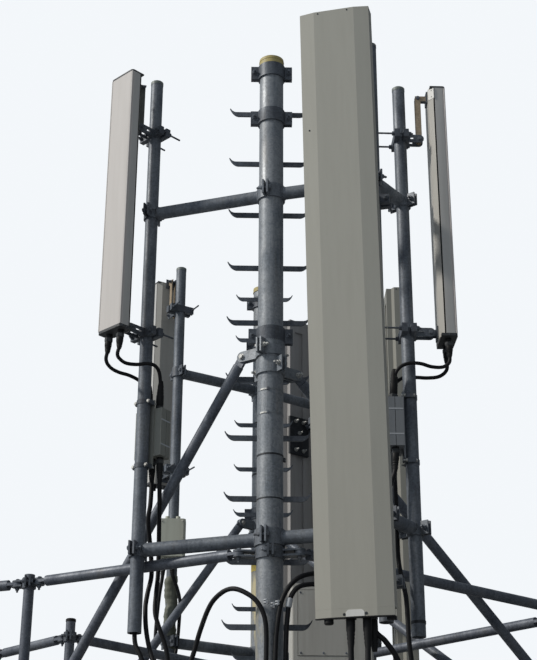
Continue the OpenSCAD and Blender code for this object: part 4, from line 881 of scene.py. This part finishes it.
for k in range(43):
    bulge = 0.0355 + 0.0022 * sin(k * 0.67) + 0.0012 * sin(k * 1.7) + (0.0 if 1 < k < 41 else -0.0055)
    middle = at(FAR_LEFT, 1.106 + 0.01 * k) + Vector((0.004 * sin(k * 0.31), 0.003 * cos(k * 0.43), 0))
    turns = [2 * pi * j / 24 for j in range(24)]
    rows.append([mesh.verts.new(middle + Vector(((bulge + chance.uniform(-0.0016, 0.0016)) * cos(a),
                                                 (bulge + chance.uniform(-0.0016, 0.0016)) * sin(a), 0)))
                 for a in turns])
join_rows(mesh, rows)
add_piece("pipe_wrap", mesh, wrap_cloth, 60)

# Braces: galvanised tubes with flattened ends that prop each mast from two sides.
# Bolts pin them between the plates of the masts' collars and of feet on the roof.
tube_zinc = zinc_material("galvanised_tube", (0.175, 0.19, 0.22), (0.078, 0.09, 0.118),
                          (0.12, 0.1, 0.07), 0.5, 0.22)
finish(["near_braces", "far_braces"], tube_zinc)
collar_zinc = zinc_material("galvanised_collar", (0.26, 0.28, 0.305), (0.14, 0.16, 0.185),
                            (0.14, 0.1, 0.07), 0.4, 0.3)
finish(["brace_collars", "brace_feet"], collar_zinc)
PIN_REACH, FOOT_PIN_Z = 0.14545, 0.06
mesh = bmesh.new()
for mast, turn, slope, z in ((NEAR, 146, 55, 2.016), (NEAR, 36, 38.7, 1.93),
                             (FAR, 217, 53.5, 1.901), (FAR, -42, 37.5, 1.815)):
    collar_bolts(mesh, mast, z, turn, MAST, 0.016)
    reach = PIN_REACH + (z - FOOT_PIN_Z) / tan(radians(slope))
    for spot, level in ((PIN_REACH, z), (reach, FOOT_PIN_Z)):
        middle = at(polar(mast, spot, turn), level)
        bolt(mesh, middle + heading(turn + 90) * 0.0152, middle - heading(turn + 90) * 0.0152, 0.0135, 0.016)
    foot_bolts(mesh, polar(mast, reach, turn), 0.016, ((-0.055, 0), (0.055, 0)), turn)
add_piece("brace_bolts", mesh, bright_zinc)

# Rails: level galvanised tubes round the masts, just over a metre up, and five posts.
# Their flat ends are pinned to bolted collars. The near left run is set a little higher.
finish(["far_rails"], tube_zinc)


def lift(spot):
    """A point of the rails, with the near left run rising a little towards the left."""
    rise = 0.024 * min(max((-spot.x - 0.1) / 0.9, 0), 1) if spot.y < 1.1 and spot.z > 0.9 else 0
    return spot + UP * rise


for name, node, material, slot in (("near_rail_tubes", "near_rails", tube_zinc, "galvanised_tube"),
                                   ("outer_rail_tubes", "outer_rails", tube_zinc, "galvanised_tube"),
                                   ("post_tubes", "rail_posts", tube_zinc, "galvanised_tube"),
                                   ("rail_couplers", "rail_collars", clamp_zinc, "clamp_steel")):
    refit(name, node, material, lift)
POSTS = [Vector(spot) for spot in
         ((-1.09, 0.626), (-0.981, 1.42), (1.38, 0.91), (-1.6, 0.82), (-1.44, 1.9))]
NEAR_RAIL_Z, FAR_RAIL_Z = 1.085, 1.034


def toward(start, end, reach):
    """The point at a distance from one place towards another."""
    return start + (Vector(end) - start).normalized() * reach


mesh = bmesh.new()
inner_near, inner_far, right_post, outer_near, outer_far = POSTS
left_pin, right_pin = polar(NEAR, 0.13, 180), polar(NEAR, 0.13, -15)
pins = [(left_pin, NEAR_RAIL_Z), (right_pin, NEAR_RAIL_Z)]
pins += [(toward(FAR, post, 0.13), FAR_RAIL_Z) for post in (inner_far, right_post)]
pins += [(toward(post, end, RAIL / 2 + 0.0363), z) for post, end, z in (
    (inner_near, left_pin, NEAR_RAIL_Z), (inner_near, outer_near, NEAR_RAIL_Z),
    (inner_far, FAR, FAR_RAIL_Z), (inner_far, outer_far, FAR_RAIL_Z),
    (right_post, right_pin, NEAR_RAIL_Z), (right_post, FAR, FAR_RAIL_Z),
    (outer_near, inner_near, NEAR_RAIL_Z), (outer_far, inner_far, FAR_RAIL_Z))]
for spot, z in pins:
    pin = lift(at(spot, z))
    bolt(mesh, pin + UP * 0.0152, pin - UP * 0.0152, 0.0115, 0.01)
for place, z, tube in ((NEAR, NEAR_RAIL_Z, MAST), (FAR, FAR_RAIL_Z, MAST), (inner_near, NEAR_RAIL_Z, RAIL),
                       (inner_far, FAR_RAIL_Z, RAIL), (right_post, NEAR_RAIL_Z, RAIL),
                       (right_post, FAR_RAIL_Z, RAIL), (outer_near, NEAR_RAIL_Z, RAIL),
                       (outer_far, FAR_RAIL_Z, RAIL)):
    collar_bolts(mesh, place, lift(at(place, z)).z, 0, tube, 0.01)
for post in POSTS:
    foot_bolts(mesh, post, 0.008, four_corners(0.043), 0, 0.011)
add_piece("rail_bolts", mesh, dull_zinc)
mesh = bmesh.new()
for post in POSTS:
    lathe(mesh, at(post, 1.112), UP, [(0, RAIL / 2 + 0.0004), (0, RAIL / 2 + 0.002),
                                      (0.012, RAIL / 2 + 0.002), (0.0155, RAIL / 2 - 0.002),
                                      (0.0162, 0.003)], 32)
add_piece("post_caps", mesh, black_rubber)

# Cabinet: a dusty powder-coated steel case on a dark plinth, for the radio equipment.
# Two covers are screwed to its front, beside a lock plate and three hinges.
cabinet_paint = skin_material("cabinet_paint", (0.5, 0.49, 0.455), (0.32, 0.3, 0.26), 0.35, 0.3)
finish(["cabinet_body", "cabinet_cover"], cabinet_paint)
finish(["cabinet_plinth"], clamp_zinc)
mesh = bmesh.new()
for left, right, low, high in ((0.164, 0.408, 0.886, 1.206), (0.164, 0.408, 0.144, 0.852)):
    for x in (left + 0.012, (left + right) / 2, right - 0.012):
        for z in (low + 0.012, high - 0.012):
            lathe(mesh, Vector((x, 1.09, z)), Vector((0, -1, 0)),
                  [(-0.001, 0.0052), (0, 0.0054), (0.0022, 0.0044), (0.0026, 0.001)], 14)
add_piece("cover_screws", mesh, dull_zinc)
mesh = bmesh.new()
for z in (0.25, 0.72, 1.13):
    lathe(mesh, Vector((0.5305, 1.104, z)), UP, [(0, 0.006), (0.06, 0.006)], 14)
block(mesh, Vector((0.462, 1.0885, 0.62)), 0, (0.026, 0.008, 0.11))
add_piece("cabinet_hinges", mesh, dark_band)

# Cables: jumpers and feeders in black polyethylene sheaths, which run down the masts and
# pipes and along the roof to the cabinet. Each is a smooth tube through listed points,
# close to the CAD's own route.
sheath = skin_material("cable_sheath", (0.01, 0.01, 0.012), (0.04, 0.038, 0.035), 0.12, 0.08, 0.25)


def to_front(x, *floor):
    """A feeder's end: places along the roof, then up into the cabinet's front."""
    bend = [(x, 0.9, 0.014), (x, 1.025, 0.03), (x, 1.065, 0.088), (x, 1.0917, 0.104)]
    return [(x, y, 0.013) for y in floor] + bend


JUMPERS = [
    [(-0.678, 0.045, 2.1), (-0.679, 0.046, 2.05), (-0.686, 0.054, 2.012), (-0.67, 0.078, 1.996),
     (-0.646, 0.102, 1.991), (-0.6, 0.13, 1.998), (-0.558, 0.142, 2.008), (-0.522, 0.158, 2.004),
     (-0.503, 0.19, 1.98), (-0.498, 0.23, 1.905), (-0.501, 0.253, 1.839)],
    [(-0.734, 0.102, 2.1), (-0.736, 0.104, 2.055), (-0.742, 0.118, 2.012), (-0.724, 0.15, 1.99),
     (-0.69, 0.19, 1.984), (-0.64, 0.248, 1.99), (-0.592, 0.288, 1.974), (-0.563, 0.298, 1.925),
     (-0.551, 0.292, 1.885), (-0.55, 0.287, 1.839)],
    [(0.804, 0.017, 2.064), (0.804, 0.017, 2.018), (0.8, 0.016, 1.978), (0.772, 0.02, 1.958),
     (0.72, 0.012, 1.955), (0.665, -0.012, 1.96), (0.61, -0.014, 1.958), (0.568, -0.006, 1.935),
     (0.549, 0.012, 1.89), (0.546, 0.024, 1.819)],
    [(0.803, 0.097, 2.064), (0.803, 0.097, 2.015), (0.799, 0.1, 1.975), (0.768, 0.112, 1.95),
     (0.715, 0.118, 1.944), (0.66, 0.118, 1.946), (0.6, 0.108, 1.938), (0.56, 0.092, 1.895),
     (0.546, 0.084, 1.819)]]
PANEL_FEEDERS = [
    [(0.305, -0.385, 0.738), (0.305, -0.385, 0.62), (0.306, -0.378, 0.42), (0.308, -0.33, 0.18),
     (0.312, -0.23, 0.05), (0.315, -0.12, 0.014)] + to_front(0.315, 0.1, 0.5),
    [(0.369, -0.4, 0.736), (0.369, -0.4, 0.62), (0.364, -0.392, 0.42), (0.356, -0.33, 0.18),
     (0.348, -0.23, 0.05), (0.346, -0.12, 0.014)] + to_front(0.345, 0.1, 0.5),
    [(0.394, -0.362, 0.738), (0.395, -0.362, 0.705), (0.408, -0.362, 0.678), (0.439, -0.362, 0.65),
     (0.486, -0.36, 0.576), (0.52, -0.33, 0.45), (0.52, -0.26, 0.23), (0.465, -0.19, 0.07),
     (0.41, -0.11, 0.016)] + to_front(0.375, 0.1, 0.5)]
MAST_FEEDERS = [
    [(-0.526, 0.27, 1.571), (-0.524, 0.268, 1.48), (-0.526, 0.264, 1.38), (-0.534, 0.275, 1.31),
     (-0.522, 0.305, 1.2), (-0.512, 0.312, 1.075), (-0.525, 0.29, 0.985), (-0.53, 0.262, 0.915),
     (-0.52, 0.24, 0.805), (-0.49, 0.21, 0.69), (-0.44, 0.17, 0.59), (-0.385, 0.14, 0.57),
     (-0.345, 0.115, 0.61), (-0.315, 0.095, 0.68), (-0.285, 0.062, 0.78), (-0.245, 0.022, 0.875),
     (-0.2, -0.022, 0.915), (-0.155, -0.055, 0.925), (-0.105, -0.08, 0.905), (-0.055, -0.092, 0.865),
     (-0.022, -0.09, 0.8), (-0.014, -0.082, 0.7), (-0.022, -0.082, 0.42), (-0.024, -0.066, 0.25),
     (-0.028, -0.12, 0.11), (-0.008, -0.195, 0.04), (0.07, -0.232, 0.014), (0.16, -0.228, 0.013),
     (0.24, -0.18, 0.013), (0.275, -0.09, 0.013)] + to_front(0.279, 0.02, 0.4),
    [(0.546, 0.054, 1.551), (0.542, 0.055, 1.47), (0.51, 0.056, 1.37), (0.5, 0.056, 1.25),
     (0.48, 0.045, 1.11), (0.43, 0.022, 1.01), (0.36, 0, 0.975), (0.29, -0.015, 0.985),
     (0.215, -0.035, 0.997), (0.165, -0.052, 0.99), (0.115, -0.068, 0.968), (0.075, -0.08, 0.925),
     (0.048, -0.086, 0.87), (0.034, -0.086, 0.8), (0.024, -0.082, 0.7), (0.018, -0.082, 0.42),
     (0.018, -0.068, 0.25), (0.02, -0.12, 0.11), (0.04, -0.172, 0.04), (0.09, -0.2, 0.014),
     (0.16, -0.196, 0.013), (0.22, -0.15, 0.013), (0.245, -0.07, 0.013)] + to_front(0.247, 0.02, 0.4),
    [(0.546, 0.01, 1.551), (0.542, 0.011, 1.47), (0.51, 0.012, 1.37), (0.5, 0.01, 1.25), (0.478, 0, 1.1),
     (0.43, -0.015, 0.98), (0.36, -0.028, 0.935), (0.29, -0.038, 0.935), (0.215, -0.048, 0.946),
     (0.165, -0.06, 0.945), (0.115, -0.074, 0.928), (0.085, -0.08, 0.885), (0.074, -0.08, 0.825),
     (0.066, -0.076, 0.72), (0.062, -0.06, 0.42), (0.05, -0.049, 0.25), (0.066, -0.11, 0.11),
     (0.084, -0.15, 0.04), (0.112, -0.172, 0.014), (0.16, -0.166, 0.013), (0.2, -0.12, 0.013),
     (0.213, -0.05, 0.013)] + to_front(0.215, 0.02, 0.4)]
SIDE_FEEDERS = [
    [(-0.49, 0.245, 1.571), (-0.488, 0.246, 1.48), (-0.486, 0.266, 1.4), (-0.486, 0.3, 1.3),
     (-0.486, 0.338, 1.2), (-0.485, 0.338, 1.08), (-0.49, 0.325, 0.99), (-0.49, 0.305, 0.905),
     (-0.47, 0.3, 0.84), (-0.435, 0.3, 0.74), (-0.4, 0.31, 0.5), (-0.38, 0.33, 0.2), (-0.37, 0.38, 0.05),
     (-0.35, 0.5, 0.013), (-0.3, 0.7, 0.013), (-0.2, 0.95, 0.013), (-0.08, 1.13, 0.014), (0.04, 1.2, 0.024),
     (0.1, 1.21, 0.084), (0.1297, 1.21, 0.104)],
    [(-0.568, 0.205, 0.9), (-0.568, 0.205, 0.79), (-0.562, 0.204, 0.745), (-0.54, 0.196, 0.7),
     (-0.5, 0.19, 0.6), (-0.46, 0.21, 0.4), (-0.43, 0.26, 0.18), (-0.41, 0.35, 0.05), (-0.39, 0.5, 0.013),
     (-0.34, 0.72, 0.013), (-0.24, 0.98, 0.013), (-0.1, 1.17, 0.014), (0.03, 1.245, 0.024),
     (0.1, 1.25, 0.084), (0.1297, 1.25, 0.104)],
    [(0.546, 0.098, 1.551), (0.548, 0.1, 1.45), (0.551, 0.103, 1.35), (0.552, 0.104, 1.2),
     (0.552, 0.098, 1.11), (0.556, 0.075, 1.04), (0.562, 0.04, 0.98), (0.57, 0.01, 0.9), (0.574, 0, 0.73),
     (0.584, 0.012, 0.62), (0.58, 0.06, 0.4), (0.56, 0.15, 0.18), (0.52, 0.28, 0.05), (0.47, 0.42, 0.013),
     (0.43, 0.6, 0.013), (0.405, 0.8, 0.013), (0.405, 1, 0.02), (0.405, 1.06, 0.086),
     (0.405, 1.0917, 0.104)],
    [(-0.551, 2.017, 1.591), (-0.556, 2.022, 1.5), (-0.57, 2.034, 1.4), (-0.584, 2.048, 1.2),
     (-0.584, 2.05, 1), (-0.576, 2.048, 0.5), (-0.56, 2.02, 0.15), (-0.51, 1.93, 0.04), (-0.42, 1.8, 0.013),
     (-0.26, 1.6, 0.013), (-0.08, 1.4, 0.014), (0.04, 1.31, 0.024), (0.1, 1.29, 0.084),
     (0.1297, 1.29, 0.104)],
    [(-0.507, 2.017, 1.591), (-0.5, 2.022, 1.52), (-0.47, 2.044, 1.44), (-0.455, 2.05, 1.37),
     (-0.458, 2.052, 1.22), (-0.466, 2.052, 1.12), (-0.486, 2.048, 1), (-0.548, 2.048, 0.5),
     (-0.53, 2.03, 0.15), (-0.49, 1.96, 0.04), (-0.4, 1.84, 0.013), (-0.24, 1.64, 0.013),
     (-0.06, 1.44, 0.014), (0.04, 1.35, 0.024), (0.1, 1.33, 0.084), (0.1297, 1.33, 0.104)]]
ROOF_CLEAR = 0.0125


def draw_cables(name, routes, diameter):
    """One piece with a smooth round tube through each route's points, in place of a CAD node."""
    data = bpy.data.curves.new(name, "CURVE")
    data.dimensions = "3D"
    data.resolution_u, data.bevel_resolution, data.bevel_depth = 5, 3, diameter / 2
    data.use_fill_caps = True
    for route in routes:
        spots = [Vector(spot) for spot in route]
        points = data.splines.new("BEZIER").bezier_points
        points.add(len(spots) - 1)
        for k, (point, here) in enumerate(zip(points, spots)):
            before, after = spots[max(k - 1, 0)], spots[min(k + 1, len(spots) - 1)]
            way = (after - before).normalized()
            point.co = here
            point.handle_left_type = point.handle_right_type = "FREE"
            point.handle_left = here - way * (here - before).length / 3
            point.handle_right = here + way * (after - here).length / 3
            for handle in (point.handle_left, point.handle_right):
                handle.z = max(handle.z, ROOF_CLEAR)
    data.materials.append(sheath)
    piece = bpy.data.objects.new(name, data)
    bpy.context.collection.objects.link(piece)
    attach(piece, "root")
    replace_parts(piece, name)


draw_cables("jumper_cables", JUMPERS, 0.0168)
draw_cables("panel_feeders", PANEL_FEEDERS, 0.022)
draw_cables("mast_feeders", MAST_FEEDERS, 0.0205)
draw_cables("side_feeders", SIDE_FEEDERS, 0.02)

# Cable ends: black coupling nuts with ribbed rubber boots at each socket, collars where the
# feeders enter the cabinet, ties round the bundles and one pale joint.
metal, boots = bmesh.new(), bmesh.new()


def connector(route, last, size, long):
    """A coupling nut and a boot on a cable's end, which is the route's first or last point."""
    end, inner = (Vector(route[-1]), Vector(route[-2])) if last else (Vector(route[0]), Vector(route[1]))
    way = (inner - end).normalized()
    coupling = [(0, size * 1.1), (0.003, size * 1.24), (0.018, size * 1.24), (0.021, size * 1.1)]
    lathe(metal, end - way * 0.014, way, coupling, 6, turn=chance.uniform(0, 1))
    ribs = ((0.4, 1.06), (0.47, 0.92), (0.52, 1.0), (0.58, 0.86), (0.64, 0.94), (0.7, 0.8), (0.76, 0.86),
            (1, 0.6), (1, 0.4))
    lathe(boots, end + way * 0.005, way, [(0, size * 0.98), (0.004, size * 1.1)]
          + [(long * along, size * wide) for along, wide in ribs], 20)


for route in JUMPERS:
    connector(route, False, 0.015, 0.056)
    connector(route, True, 0.0165, 0.115)
for route in PANEL_FEEDERS:
    connector(route, False, 0.0165, 0.125)
for route in MAST_FEEDERS:
    connector(route, False, 0.0145, 0.085)
for k in (0, 2, 3, 4):
    connector(SIDE_FEEDERS[k], False, 0.0145, 0.085)
for route in PANEL_FEEDERS + MAST_FEEDERS + SIDE_FEEDERS:
    end, inner = Vector(route[-1]), Vector(route[-2])
    way = (inner - end).normalized()
    lathe(boots, end + way * 0.004, way, [(0, 0.019), (0.004, 0.02), (0.022, 0.018), (0.026, 0.0125)], 24)
add_piece("connector_nuts", metal, antenna_cap)
add_piece("connector_boots", boots, black_rubber)
ties = bmesh.new()
for x, y, z, radius in ((-0.0165, -0.088, 0.868, 0.011), (-0.0165, -0.088, 0.857, 0.0112),
                        (0.031, -0.086, 0.862, 0.011), (0.031, -0.086, 0.851, 0.0112),
                        (0.012, -0.066, 0.86, 0.0092), (0.012, -0.066, 0.848, 0.0092)):
    spot = Vector((x, y, z))
    strap = [(0, radius - 0.002), (0, radius), (0.005, radius), (0.005, radius - 0.002)]
    lathe(ties, spot, Vector((0.1, 0.05, 1)), strap, 20, True)
    block(ties, spot + Vector((0.003, -radius, 0.003)), 10, (0.008, 0.006, 0.009))
add_piece("cable_ties", ties, pale_strap)
mesh = bmesh.new()
spot, way = Vector((0.0785, -0.08, 0.862)), Vector((-0.011, 0.0, -0.06)).normalized()
lathe(mesh, spot - way * 0.02, way, [(0, 0.0105), (0.003, 0.0135), (0.037, 0.0135), (0.04, 0.0105)], 18)
add_piece("cable_joint", mesh, pale_strap)
